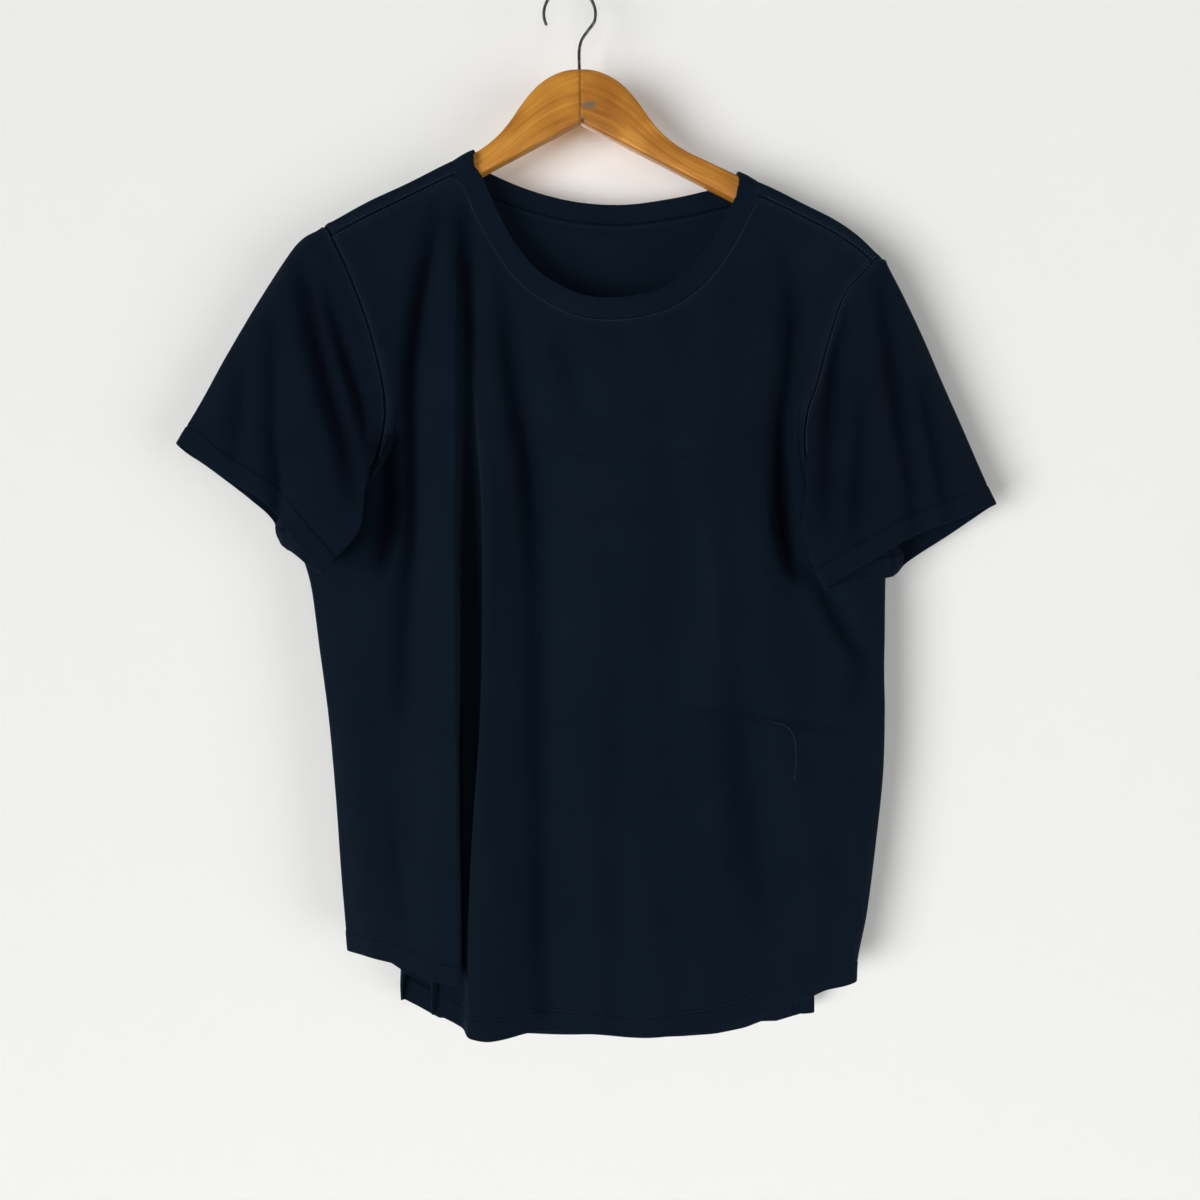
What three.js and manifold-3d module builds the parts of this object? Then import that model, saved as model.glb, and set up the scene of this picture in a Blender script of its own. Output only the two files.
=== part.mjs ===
// A short-sleeved crew-neck t-shirt hanging on a wooden hanger.
// Millimetres, +Z up, +X to the viewer's right, +Y away from the viewer.
// The origin is the inside top of the hook, where the rail carries it.
import * as THREE from 'three';
import * as BufferGeometryUtils from 'three/addons/utils/BufferGeometryUtils.js';
import Module from 'manifold-3d';

const wasm = await Module();
wasm.setup();

// ---- Driving dimensions -------------------------------------------------------------------------

const CLOTH_WALL = 1.2;          // thickness of the knit
const BAND_WALL = 1.6;           // thickness of the doubled neckband
const BAND_WIDTH = 14.5;         // seam to free edge of the neckband
const SEAM_GAP = 0.3;            // clear space between sewn pieces
const TOLERANCE = 0.1;           // for telling whether a point lies on a seam

const WOOD_THICKNESS = 12;
const WOOD_ROUND = 2.5;          // rounded edge of the wood
const WOOD_TOP = { x: 7.2, z: -63.5 };
const WOOD_TILT = THREE.MathUtils.degToRad(-0.75);
const WOOD_BEVEL_STEPS = 3;
const WOOD_JOINT_GAP = 0.3;
const WOOD_HALF_BOX = 300;       // larger than one half, for cutting the board in two
const CLOTH_LIFT = 2.1;          // ridge of the cloth above the top of the wood
const RIDGE_HALF_DEPTH = 8.4;    // from the ridge to the cloth in front of the wood
const SHOULDER_DROP = 12;        // forward shoulder seam below the ridge
const RIDGE_SQUARENESS = 0.6;    // how square the cloth turns over the wood, 1 is an ellipse
const RIDGE_SIDE_SHARE = 0.95;   // past this share of the half depth the cloth hangs plumb

const WIRE_RADIUS = 1.2;
const HOOK_RADIUS = 20;          // centre line of the hook's round
const HOOK_OPEN_ANGLE = 205;     // where the round ends, in degrees from +X
const SHANK_X = 6.6;
const SHANK_DEPTH = 26;          // length of shank inside the wood
const HOOK_CENTRE_Z = WIRE_RADIUS - HOOK_RADIUS;
const HOOK_TURN_ANGLE = -20;     // where the round runs into the neck of the hook
const HOOK_STEP = 15;
const HOOK_NECK = [[14, -32], [9, -39], [7, -46], [6.6, -53]];
const HOOK_WIRE_STEPS = 56;
const WIRE_SEGMENTS = 4;         // steps in each half of the wire's round section
const HOLE_SEGMENTS = 12;

// The top edge of one hanger half, from the centre out: along, down.
const WOOD_TOP_EDGE = [
  [0, 0], [10, -0.9], [20, -4.2], [30, -10.2], [38, -17.8], [46, -27.8], [54, -39.5], [62, -49],
  [71, -57], [82.5, -64.5], [97, -71.5], [122, -83.5], [163, -103], [190, -117], [203, -125],
];
// The rounded tip of one half, and its under edge back to the middle.
const WOOD_TIP_EDGE = [[210, -131], [214, -138], [213, -145], [207, -147.5]];
const WOOD_UNDER_EDGE = [[114, -99.7], [0, -40.4]];
// The ridge of the cloth past the tip of the wood: along, down.
const RIDGE_PAST_WOOD = [[214, -131], [223, -139.5], [232, -149]];

// Levels down the body, between the top edge and the hem.
const LEVELS = { chest: -290, underarm: -410, waist: -560, hip: -680 };
const PLEAT_RADIUS = 2.5;

// Neck seam of the front, from the left neck point to the right one (x, z).
const NECKLINE_FRONT = [
  [-91, -145], [-87.5, -148], [-83, -154.5], [-70.9, -182.8], [-56.9, -208.7], [-39.5, -231.1],
  [-18.3, -246.3], [2.9, -256], [24.1, -258.8], [45.4, -257.5], [66.9, -252.5], [88.6, -240.8],
  [108.8, -221.2], [125.7, -195.9], [138, -173.5], [142, -166.5],
];
// Neck seam of the back, in the same way.
const NECKLINE_BACK = [
  [-87.5, -143.5], [-74, -151], [-52.1, -160.5], [-25.1, -170.2], [4, -176.6], [31.4, -179],
  [60, -177.8], [88.3, -173.5], [113.8, -168.5], [130, -166], [138.5, -166],
];

// Side seams, from the armpit down (z, x).
const SIDE_LEFT = [
  [-399, -222], [-427, -217.6], [-461, -209], [-506, -203.7], [-560, -197.8], [-620, -193.7],
  [-680, -190.8], [-739, -187],
];
const SIDE_RIGHT = [
  [-432, 236], [-459, 235.5], [-486, 234.7], [-532, 232.7], [-563, 232.6], [-610, 230.4],
  [-656, 225], [-718, 215.9], [-756, 207.6], [-771.3, 206.2],
];

// Armholes below the shoulder: down the front to the armpit (x, y, z),
const ARMHOLE_FRONT_LEFT = [
  [-172, -10, -222], [-156, -13, -270], [-147, -14, -318], [-150, -14, -345],
  [-158, -14, -368], [-182, -10, -389], [-222, 0, -399],
];
const ARMHOLE_FRONT_RIGHT = [
  [207.5, -10, -242], [194, -12, -275], [183, -13, -312], [175, -13, -336],
  [174, -13, -368], [192, -10, -410], [236, 0, -432],
];
// and down the back to the armpit.
const ARMHOLE_BACK_LEFT = [
  [-174, 9.5, -222], [-162, 10, -270], [-165, 10, -335], [-190, 8, -380],
  [-222, 0, -399],
];
const ARMHOLE_BACK_RIGHT = [
  [208, 9.5, -252], [190, 10, -300], [187, 10, -365], [206, 8, -415],
  [236, 0, -432],
];
// Where each armhole meets the forward shoulder seam, the ridge and the back of the shoulder (x).
const ARMHOLE_TOP_LEFT = { front: -186.5, ridge: -193, back: -188 };
const ARMHOLE_TOP_RIGHT = { front: 229, ridge: 238, back: 230 };

// Lines down the front, a row for each crest and trough, from left to right. x and y are given at
// the top edge, chest, underarm, waist, hip and hem; hem is the height of the hem there; steps is
// how many columns lead to the next row.
const FRONT_LINES_LEFT = [
  { steps: 2, x: [-150, -131, -150, -171, -169, -165], y: [-8, -13, -13, -15, -17, -18], hem: -741 },
  { steps: 2, x: [-106, -119, -129, -136.5, -139, -141], y: [-8, -12.5, -15, -18, -20, -23], hem: -746.5 },
  { steps: 2, x: [-96, -99, -109, -113, -115, -117], y: [-8, -17, -25, -31, -32, -32], hem: -755.5 },
];
const FRONT_PLEAT = {
  x: [-89, -86, -96, -97, -97.6, -99], y: [-8.3, -17.5, -27, -32.5, -33.5, -33],
  turn: [8, 35, 110, 165, 180, 180], back: [1.5, 6, 6, 9, 12, 14], hem: -758.5, hemEnd: -784,
};
const FRONT_LINES_RIGHT = [
  { steps: 1, x: [-79, -68, -70, -75, -80, -87], y: [-9.3, -17, -21.5, -23.5, -24, -24], hem: -796 },
  { steps: 2, x: [-71, -54, -58, -65, -69, -73], y: [-10, -20, -26, -29, -30, -31], hem: -801.5 },
  { steps: 2, x: [-54, -42, -34.5, -37, -38, -38.5], y: [-12, -16.5, -19, -20, -20, -19], hem: -799 },
  { steps: 2, x: [-22, -8, 0, 0, 2, 3], y: [-16, -20, -23, -25, -25, -24], hem: -800.5 },
  { steps: 2, x: [26, 32, 40, 42, 44, 45], y: [-18, -22.5, -26, -27.5, -28, -28], hem: -802.5 },
  { steps: 2, x: [86, 88, 88, 88, 92, 95], y: [-14.5, -21, -25, -27, -27.5, -27], hem: -797 },
  { steps: 2, x: [120, 121, 118, 118, 134, 134], y: [-11, -18, -22, -22, -21, -20], hem: -788 },
  { steps: 1, x: [136, 140, 136, 150, 166, 156], y: [-8.8, -17, -20, -22, -21, -18], hem: -781 },
  { steps: 2, x: [142, 147, 141, 158, 173, 163], y: [-8, -16.5, -19, -21, -20, -17], hem: -780 },
  { steps: 1, x: [160, 164, 156, 190, 195, 180], y: [-8, -11, -12, -14, -13, -11], hem: -775.5 },
  { steps: 2, x: [200, 174, 169, 212, 211, 195], y: [-8, -13, -14, -11, -11, -9], hem: -773 },
];

// Lines down the back, given in the same way, from the back of the shoulder or the neck seam.
const BACK_LINES_LEFT = [
  { steps: 2, x: [-150, -146, -165, -175, -172, -168], y: [8, 11, 12, 13, 13, 12], hem: -746 },
];
const BACK_PLEAT_LEFT = {
  x: [-114, -125, -136, -143, -146, -148.5], y: [8, 13, 14.5, 14, 13, 12],
  turn: [24, 30, 60, 120, 170, 180], back: [1, 3, 5, 7, 9, 10], hem: -765, hemEnd: -786,
};
const BACK_LINES_MIDDLE = [
  { steps: 2, x: [-58, -72, -78, -82, -84, -84], y: [10, 17, 21, 23.5, 25, 25], hem: -811 },
  { steps: 2, x: [-28, -44, -45, -45, -45, -44], y: [11, 16, 20, 22, 23, 23], hem: -816 },
  { steps: 2, x: [4, 0, 0, 0, 0, 0], y: [12, 18, 22, 25, 26, 26], hem: -818.5 },
  { steps: 2, x: [40, 42, 42, 42, 42, 42], y: [12, 17, 21, 23, 24, 24], hem: -821 },
  { steps: 2, x: [80, 86, 88, 88, 88, 88], y: [11, 17, 22, 25, 26, 26], hem: -820.5 },
  { steps: 2, x: [112, 116, 118, 119, 119, 119], y: [10, 16, 20, 23, 24, 25], hem: -816 },
];
const BACK_PLEAT_RIGHT = {
  x: [170, 158, 161, 170, 174, 173.5], y: [8, 13, 18, 21, 22, 22],
  turn: [-24, -30, -60, -120, -170, -180], back: [1, 3, 5, 7, 9, 10], hem: -802, hemEnd: -786,
};
const BACK_LINES_RIGHT = [
  { steps: 2, x: [200, 172, 177, 205, 204, 192], y: [8, 12, 13, 12, 12, 10], hem: -777 },
];
// The lines that begin round each corner of the neck, where the seam crosses the ridge: the first
// begins at the front. start is the angle round the ridge, and each next one lies further in.
const NECK_CORNER_STARTS = [-90, -55, -22, 22, 55, 90];
const NECK_CORNER_STEP = { top: 0.7, below: 2.4 };
const NECK_CORNER_LEFT = {
  x: [-91, -104, -113, -118, -120, -120], y: [8, 15, 19, 22, 24, 24], hem: -802,
};
const NECK_CORNER_RIGHT = {
  x: [142, 144, 145, 146, 147, 147], y: [8, 15, 19, 22, 23, 24], hem: -810,
};

// Lines along each sleeve from the armhole: a row for each, in order round from the ridge over the
// front to the armpit and up the back. at is the share of the way round; near and far lie along
// the sleeve, cuff is the open edge; fold is how far the cloth first rolls out over the panel.
const SLEEVE_LINES_LEFT = [
  { at: 0.00, fold: 0, near: [-219, 0, -198], far: [-262, 0, -264], cuff: [-311, 0, -345] },
  { at: 0.03, fold: 0, near: [-214, -10, -208], far: [-254, -9, -277], cuff: [-299, -6, -351] },
  { at: 0.10, fold: 0, near: [-202, -15, -248], far: [-239, -15, -306], cuff: [-279, -8, -360] },
  { at: 0.19, fold: 0, near: [-187, -20, -297], far: [-219, -20, -337], cuff: [-255, -10, -373.5] },
  { at: 0.28, fold: 0.3, near: [-172, -24, -337], far: [-202, -26, -369], cuff: [-235, -16, -391] },
  { at: 0.33, fold: 1, near: [-163, -27, -361], far: [-188, -33, -398], cuff: [-213, -32, -424] },
  { at: 0.38, fold: 1, near: [-161, -29, -388], far: [-165, -34, -418], cuff: [-194, -36, -447] },
  { at: 0.45, fold: 1, near: [-190, -18, -404], far: [-193, -22, -422], cuff: [-207, -23, -441] },
  { at: 0.485, fold: 1.6, near: [-213, -17, -402], far: [-217, -18, -417], cuff: [-219, -13, -432] },
  { at: 0.52, fold: 1.3, near: [-232, -5, -405], far: [-234, -5, -415], cuff: [-231, -2, -425] },
  { at: 0.58, fold: 0.9, near: [-214, 12, -392], far: [-228, 13, -402], cuff: [-241, 8, -411] },
  { at: 0.68, fold: 0.6, near: [-194, 15, -353], far: [-223, 17, -374], cuff: [-257, 13, -394] },
  { at: 0.80, fold: 0, near: [-195, 16, -300], far: [-233, 17, -338], cuff: [-276, 14, -377] },
  { at: 0.90, fold: 0, near: [-205, 14, -249], far: [-248, 13, -305], cuff: [-295, 10, -359] },
  { at: 0.96, fold: 0, near: [-215, 9.5, -210], far: [-256, 8, -279], cuff: [-306, 6, -351] },
];
const SLEEVE_LINES_RIGHT = [
  { at: 0.00, fold: 0, near: [264, 0, -266], far: [292, 0, -334], cuff: [321.5, 0, -405] },
  { at: 0.03, fold: 0, near: [255, -12, -276], far: [281, -12, -343], cuff: [307, -8, -409] },
  { at: 0.10, fold: 0, near: [233, -17, -296], far: [259, -20, -359], cuff: [284, -14, -418] },
  { at: 0.17, fold: 0, near: [212, -21, -326], far: [238, -25, -381], cuff: [257, -19, -427] },
  { at: 0.24, fold: 0.5, near: [187, -26, -362], far: [205, -31, -408], cuff: [220, -30, -446] },
  { at: 0.30, fold: 1, near: [165, -28, -389], far: [167, -34, -424], cuff: [182, -37, -467.5] },
  { at: 0.38, fold: 1, near: [184, -20, -412], far: [188, -24, -436], cuff: [202, -25, -465] },
  { at: 0.45, fold: 1, near: [212, -15, -431], far: [216, -16, -446], cuff: [224, -16, -461] },
  { at: 0.485, fold: 1.5, near: [230, -13, -436], far: [233, -13, -448], cuff: [236, -10, -460] },
  { at: 0.515, fold: 1.3, near: [246, -4, -439], far: [248, -4, -448], cuff: [244, -2, -457] },
  { at: 0.58, fold: 0.6, near: [230, 13, -424], far: [242, 14, -437], cuff: [253, 12, -450] },
  { at: 0.68, fold: 0.3, near: [213, 16, -383], far: [240, 18, -411], cuff: [267, 16, -441] },
  { at: 0.80, fold: 0, near: [217, 17, -337], far: [249, 18, -382], cuff: [288, 14, -428] },
  { at: 0.90, fold: 0, near: [240, 14, -295], far: [269, 13, -356], cuff: [307, 9, -415] },
  { at: 0.96, fold: 0, near: [255, 10, -279], far: [283, 8, -344], cuff: [317, 5, -408] },
];
// Where those places lie down the sleeve, and the rows of the sleeve.
const SLEEVE_PLACES = [0, 0.06, 0.36, 0.68, 1];
const SLEEVE_ROWS = [0, 0.06, 0.18, 0.3, 0.44, 0.58, 0.72, 0.86, 1];
const SEAM_ROLL = 1.8;           // size of the roll of cloth at the armhole seam

const ARMHOLE_ROWS = 9;          // rows of the panels beside the armhole
const SIDE_ROWS = 8;            // rows of the panels beside the side seam
const RIDGE_ROWS = 8;            // rows of the back panel over the shoulder
const TURN_STEPS = 2;            // columns round each fold of a pleat
const NECK_ROWS_DEPTH = 8;       // the back's first rows below the neck seam
const RIDGE_ARC = 17;            // length of cloth from the ridge to the back of the shoulder
const ARMHOLE_TURN = { in: 7, out: 0.6 };    // where the cloth turns beside the armhole
const SIDE_TURN = { in: 3.5, out: 6.5 };     // and beside the side seam
const BAND_ROWS = 2;
const BAND_SEAM_GAP = 0.45;
const BAND_FLARE = 0.8;          // how far its free edge lifts where it crosses the wood
const BAND_ROUND = 0.4;          // how far the band stands out at its middle

const NAVY = new THREE.Color(0x0f1823);
const cloth = () => new THREE.MeshStandardMaterial({ color: NAVY, roughness: 0.85, metalness: 0 });
const wood = () => new THREE.MeshStandardMaterial({ color: 0xb4752f, roughness: 0.4, metalness: 0 });
const steel = () => new THREE.MeshStandardMaterial({
  color: 0x55565a, roughness: 0.35, metalness: 0.9,
});

// ---- Curves -------------------------------------------------------------------------------------

/** Smooth function through (key, value) pairs: a cubic between keys, slopes from the neighbours. */
function through(keys, values) {
  const last = keys.length - 1;
  const slope = keys.map((key, i) => {
    const a = Math.max(0, i - 1);
    const b = Math.min(last, i + 1);
    return (values[b] - values[a]) / (keys[b] - keys[a]);
  });
  const falling = keys[last] < keys[0];
  return (key) => {
    let i = 0;
    while (i < last - 1 && (falling ? key < keys[i + 1] : key > keys[i + 1])) {
      i += 1;
    }
    const span = keys[i + 1] - keys[i];
    const t = THREE.MathUtils.clamp((key - keys[i]) / span, 0, 1);
    const t2 = t * t;
    const t3 = t2 * t;
    return (2 * t3 - 3 * t2 + 1) * values[i] + (t3 - 2 * t2 + t) * span * slope[i]
      + (3 * t2 - 2 * t3) * values[i + 1] + (t3 - t2) * span * slope[i + 1];
  };
}

/** Function of the first column of a table, for its second column. */
function tableOf(rows) {
  return through(rows.map((row) => row[0]), rows.map((row) => row[1]));
}

/** Evenly spaced points along a smooth curve through the given points. */
function spaced(points, count) {
  const knots = points.map((point) => new THREE.Vector3(...point));
  return new THREE.CatmullRomCurve3(knots, false, 'centripetal').getSpacedPoints(count);
}

const necklineFront = tableOf(NECKLINE_FRONT);
const necklineBack = tableOf(NECKLINE_BACK);
const sideLeft = tableOf(SIDE_LEFT);
const sideRight = tableOf(SIDE_RIGHT);
const ridgeEdge = tableOf([
  ...WOOD_TOP_EDGE.map(([along, down]) => [along, down + CLOTH_LIFT]),
  ...RIDGE_PAST_WOOD,
]);

/** Height of the cloth's ridge above the wood at x. */
function ridge(x) {
  const along = x - WOOD_TOP.x;
  const turned = along + ridgeEdge(Math.abs(along)) * Math.sin(WOOD_TILT);
  return WOOD_TOP.z + ridgeEdge(Math.abs(turned)) + along * Math.sin(WOOD_TILT);
}

/** A point of the cloth where it turns over the ridge, at an angle from -90 (front) to 90 (back). */
function overRidge(x, degrees) {
  const angle = THREE.MathUtils.degToRad(degrees);
  const out = Math.sign(angle) * Math.abs(Math.sin(angle)) ** RIDGE_SQUARENESS;
  const up = Math.abs(Math.cos(angle)) ** RIDGE_SQUARENESS;
  return new THREE.Vector3(x, RIDGE_HALF_DEPTH * out, ridge(x) - SHOULDER_DROP * (1 - up));
}

/** Outward normal of the cloth at the same place. */
function ridgeNormal(x, degrees) {
  const angle = THREE.MathUtils.degToRad(degrees);
  const slope = (ridge(x + 1) - ridge(x - 1)) / 2;
  const up = Math.cos(angle);
  return new THREE.Vector3(-slope * up, Math.sin(angle), up).normalize();
}

/** Height of the front's top edge at x: the forward shoulder seams and the neckline. */
function frontTop(x) {
  const inNeck = x > NECKLINE_FRONT[0][0] && x < NECKLINE_FRONT[NECKLINE_FRONT.length - 1][0];
  return inNeck ? necklineFront(x) : ridge(x) - SHOULDER_DROP - SEAM_GAP;
}

// ---- Solids -------------------------------------------------------------------------------------

/** Outward unit normals of a grid of points, by the differences of its neighbours. */
function gridNormals(grid, closed) {
  const rows = grid.length;
  const columns = grid[0].length;
  return grid.map((row, j) => row.map((point, i) => {
    const left = closed ? (i + columns - 1) % columns : Math.max(0, i - 1);
    const right = closed ? (i + 1) % columns : Math.min(columns - 1, i + 1);
    const across = row[right].clone().sub(row[left]);
    const down = grid[Math.min(rows - 1, j + 1)][i].clone().sub(grid[Math.max(0, j - 1)][i]);
    return down.cross(across).normalize();
  }));
}

/**
 * A wall of even thickness on a grid of points, closed at its rims. seamNormal may give the
 * outward normal at a rim, so that two sewn pieces end face to face.
 */
function wallGeometry(grid, thickness, { closed = false, flip = false, seamNormal = () => null } = {}) {
  const rows = grid.length;
  const columns = grid[0].length;
  const normals = gridNormals(grid, closed);
  const sign = flip ? -1 : 1;
  const positions = [];
  for (const side of [1, -1]) {
    grid.forEach((row, j) => row.forEach((point, i) => {
      const normal = seamNormal(j, i) ?? normals[j][i].clone().multiplyScalar(sign);
      positions.push(...point.clone().addScaledVector(normal, side * thickness / 2).toArray());
    }));
  }
  const index = [];
  const at = (side, j, i) => side * rows * columns + j * columns + (i % columns);
  const quad = (a, b, c, d) => index.push(a, b, c, a, c, d);
  const across = closed ? columns : columns - 1;
  const order = (a, b, c, d) => (flip ? quad(d, c, b, a) : quad(a, b, c, d));
  for (let j = 0; j < rows - 1; j += 1) {
    for (let i = 0; i < across; i += 1) {
      order(at(0, j, i), at(0, j + 1, i), at(0, j + 1, i + 1), at(0, j, i + 1));
      order(at(1, j, i), at(1, j, i + 1), at(1, j + 1, i + 1), at(1, j + 1, i));
    }
  }
  for (let i = 0; i < across; i += 1) {
    order(at(1, 0, i), at(0, 0, i), at(0, 0, i + 1), at(1, 0, i + 1));
    order(at(0, rows - 1, i), at(1, rows - 1, i), at(1, rows - 1, i + 1), at(0, rows - 1, i + 1));
  }
  const end = columns - 1;
  for (let j = 0; j < rows - 1 && !closed; j += 1) {
    order(at(0, j, 0), at(1, j, 0), at(1, j + 1, 0), at(0, j + 1, 0));
    order(at(1, j, end), at(0, j, end), at(0, j + 1, end), at(1, j + 1, end));
  }
  const geometry = new THREE.BufferGeometry();
  geometry.setAttribute('position', new THREE.Float32BufferAttribute(positions, 3));
  geometry.setIndex(index);
  geometry.computeVertexNormals();
  return geometry;
}

// ---- Body panels --------------------------------------------------------------------------------

/** Height of a row of a panel: even steps to the armpit's row, then even steps to the hem. */
function rowHeight(row, top, armpit, hem) {
  if (row <= ARMHOLE_ROWS) {
    return THREE.MathUtils.lerp(top, armpit, row / ARMHOLE_ROWS);
  }
  return THREE.MathUtils.lerp(armpit, hem, (row - ARMHOLE_ROWS) / SIDE_ROWS);
}

/** Height of the armpits' row at x. */
function armpitHeight(x) {
  const [leftZ, leftX] = SIDE_LEFT[0];
  const [rightZ, rightX] = SIDE_RIGHT[0];
  return THREE.MathUtils.mapLinear(x, leftX, rightX, leftZ, rightZ);
}

/** The heights at which a line's columns are given. */
function levelsFrom(top, hem) {
  return [top, LEVELS.chest, LEVELS.underarm, LEVELS.waist, LEVELS.hip, hem];
}

/** One line of a panel as points, a row each, from the height of its top edge. */
function linePoints(line, top) {
  const keys = levelsFrom(top, line.hem);
  const xAt = through(keys, line.x);
  const yAt = through(keys, line.y);
  const points = [];
  for (let row = 0; row <= ARMHOLE_ROWS + SIDE_ROWS; row += 1) {
    const z = rowHeight(row, top, armpitHeight(line.x[2]), line.hem);
    points.push(new THREE.Vector3(xAt(z), yAt(z), z));
  }
  return points;
}

/**
 * The lines of a pleat: the cloth turns back by an angle round a fold, runs back, and turns
 * forward again by the same angle. Both turns have the same radius.
 */
function pleatLines(pleat, topOf) {
  const topZ = topOf(pleat.x[0]);
  const shares = [];
  for (let step = 0; step <= TURN_STEPS; step += 1) {
    shares.push({ first: step / TURN_STEPS, back: 0, second: 0 });
  }
  for (let step = 0; step <= TURN_STEPS; step += 1) {
    shares.push({ first: 1, back: 1, second: step / TURN_STEPS });
  }
  return shares.map(({ first, back, second }, index) => {
    const share = index / (shares.length - 1);
    const hem = THREE.MathUtils.lerp(pleat.hem, pleat.hemEnd, share);
    const top = topOf(pleat.x[0] + share * pleat.back[0]);
    const keys = levelsFrom(topZ, hem);
    const columns = [pleat.x, pleat.y, pleat.turn, pleat.back];
    const [xAt, yAt, turnAt, backAt] = columns.map((values) => through(keys, values));
    const points = [];
    for (let row = 0; row <= ARMHOLE_ROWS + SIDE_ROWS; row += 1) {
      const z = rowHeight(row, top, armpitHeight(pleat.x[2]), hem);
      const turn = THREE.MathUtils.degToRad(turnAt(z));
      const sign = Math.sign(turn) || 1;
      const full = Math.abs(turn);
      const one = full * first;
      const two = full * (1 - second);
      const x = xAt(z) + PLEAT_RADIUS * Math.sin(one) + back * backAt(z) * Math.cos(full)
        + (back ? PLEAT_RADIUS * (Math.sin(full) - Math.sin(two)) : 0);
      const y = PLEAT_RADIUS * (1 - Math.cos(one)) + back * backAt(z) * Math.sin(full)
        + (back ? PLEAT_RADIUS * (Math.cos(two) - Math.cos(full)) : 0);
      points.push(new THREE.Vector3(x, yAt(z) + sign * y, z));
    }
    return { steps: 1, points };
  });
}

/** The edge of a panel: armhole to the armpit, then side seam to the hem, half a gap clear. */
function edgePoints(top, armhole, side, facing) {
  const start = overRidge(top, facing * 90);
  const points = spaced([start.toArray(), ...armhole], ARMHOLE_ROWS);
  const at = tableOf(side);
  for (let row = 1; row <= SIDE_ROWS; row += 1) {
    const z = THREE.MathUtils.lerp(side[0][0], side[side.length - 1][0], row / SIDE_ROWS);
    points.push(new THREE.Vector3(at(z), 0, z));
  }
  points.forEach((point, row) => {
    point.y += row >= ARMHOLE_ROWS ? facing * SEAM_GAP / 2 : 0;
  });
  return points;
}

/** The line just inside an edge, where the cloth turns round from front to back. */
function turnPoints(edge, inward, facing) {
  return edge.map((point, row) => {
    const side = THREE.MathUtils.smoothstep(row, ARMHOLE_ROWS - 1, ARMHOLE_ROWS + 2);
    const x = point.x + inward * THREE.MathUtils.lerp(ARMHOLE_TURN.in, SIDE_TURN.in, side);
    const y = point.y + facing * THREE.MathUtils.lerp(ARMHOLE_TURN.out, SIDE_TURN.out, side);
    const z = row === 0 ? ridge(x) - SHOULDER_DROP : point.z;
    return new THREE.Vector3(x, y, z);
  });
}

/** Rows of a panel from its lines: a smooth curve across the lines at each row. */
function panelRows(lines) {
  const rows = lines[0].points.length;
  const grid = [];
  for (let row = 0; row < rows; row += 1) {
    const across = lines.map((line) => line.points[row]);
    const out = [];
    lines.forEach((line, k) => {
      if (k === lines.length - 1) {
        out.push(across[k].clone());
        return;
      }
      const before = across[Math.max(0, k - 1)];
      const after = across[Math.min(lines.length - 1, k + 2)];
      for (let step = 0; step < line.steps; step += 1) {
        out.push(betweenPoints(before, across[k], across[k + 1], after, step / line.steps));
      }
    });
    grid.push(out);
  }
  return grid;
}

/** A point between b and c on the centripetal curve through a, b, c and d. */
function betweenPoints(a, b, c, d, t) {
  if (t === 0) {
    return b.clone();
  }
  const span = b.distanceTo(c);
  const slopeB = c.clone().sub(a).multiplyScalar(span / Math.max(a.distanceTo(b) + span, span));
  const slopeC = d.clone().sub(b).multiplyScalar(span / Math.max(c.distanceTo(d) + span, span));
  const t2 = t * t;
  const t3 = t2 * t;
  return b.clone().multiplyScalar(2 * t3 - 3 * t2 + 1)
    .addScaledVector(slopeB, t3 - 2 * t2 + t)
    .addScaledVector(c, 3 * t2 - 2 * t3)
    .addScaledVector(slopeC, t3 - t2);
}

/** Lines of a table as points, from a top edge. */
function tableLines(table, topOf) {
  return table.map((line) => ({ steps: line.steps, points: linePoints(line, topOf(line.x[0])) }));
}

const frontEdgeLeft = edgePoints(ARMHOLE_TOP_LEFT.front, ARMHOLE_FRONT_LEFT, SIDE_LEFT, -1);
const frontEdgeRight = edgePoints(ARMHOLE_TOP_RIGHT.front, ARMHOLE_FRONT_RIGHT, SIDE_RIGHT, -1);
frontEdgeLeft[0].z -= SEAM_GAP;
frontEdgeRight[0].z -= SEAM_GAP;
const frontGrid = panelRows([
  { steps: 1, points: frontEdgeLeft },
  { steps: 2, points: turnPoints(frontEdgeLeft, 1, -1) },
  ...tableLines(FRONT_LINES_LEFT, frontTop),
  ...pleatLines(FRONT_PLEAT, frontTop),
  ...tableLines(FRONT_LINES_RIGHT, frontTop),
  { steps: 1, points: turnPoints(frontEdgeRight, -1, -1) },
  { steps: 1, points: frontEdgeRight },
]);

/** A line of the back with rows from an angle over the ridge down to where its points begin. */
function backLine(line, x, start) {
  const first = line.points[0];
  const arc = RIDGE_ARC * (90 - start) / 90;
  const total = arc + shoulderBack(x) - first.z;
  const over = [];
  for (let row = 0; row < RIDGE_ROWS; row += 1) {
    const run = total * row / RIDGE_ROWS;
    if (run < arc) {
      over.push(overRidge(x, THREE.MathUtils.lerp(start, 90, run / arc)));
    } else {
      over.push(new THREE.Vector3(x, RIDGE_HALF_DEPTH, shoulderBack(x) - run + arc));
    }
  }
  return { steps: line.steps, points: [...over, ...line.points] };
}

/** A line of the back with rows from the neck seam down to where its points begin. */
function neckLine(line, x) {
  const first = line.points[0];
  const over = [];
  for (let row = 0; row < RIDGE_ROWS; row += 1) {
    const z = THREE.MathUtils.lerp(necklineBack(x), first.z, row / RIDGE_ROWS);
    over.push(new THREE.Vector3(x, first.y, z));
  }
  return { steps: line.steps, points: [...over, ...line.points] };
}

const shoulderBack = (x) => ridge(x) - SHOULDER_DROP;
const neckBack = (x) => necklineBack(x) - NECK_ROWS_DEPTH;

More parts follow.
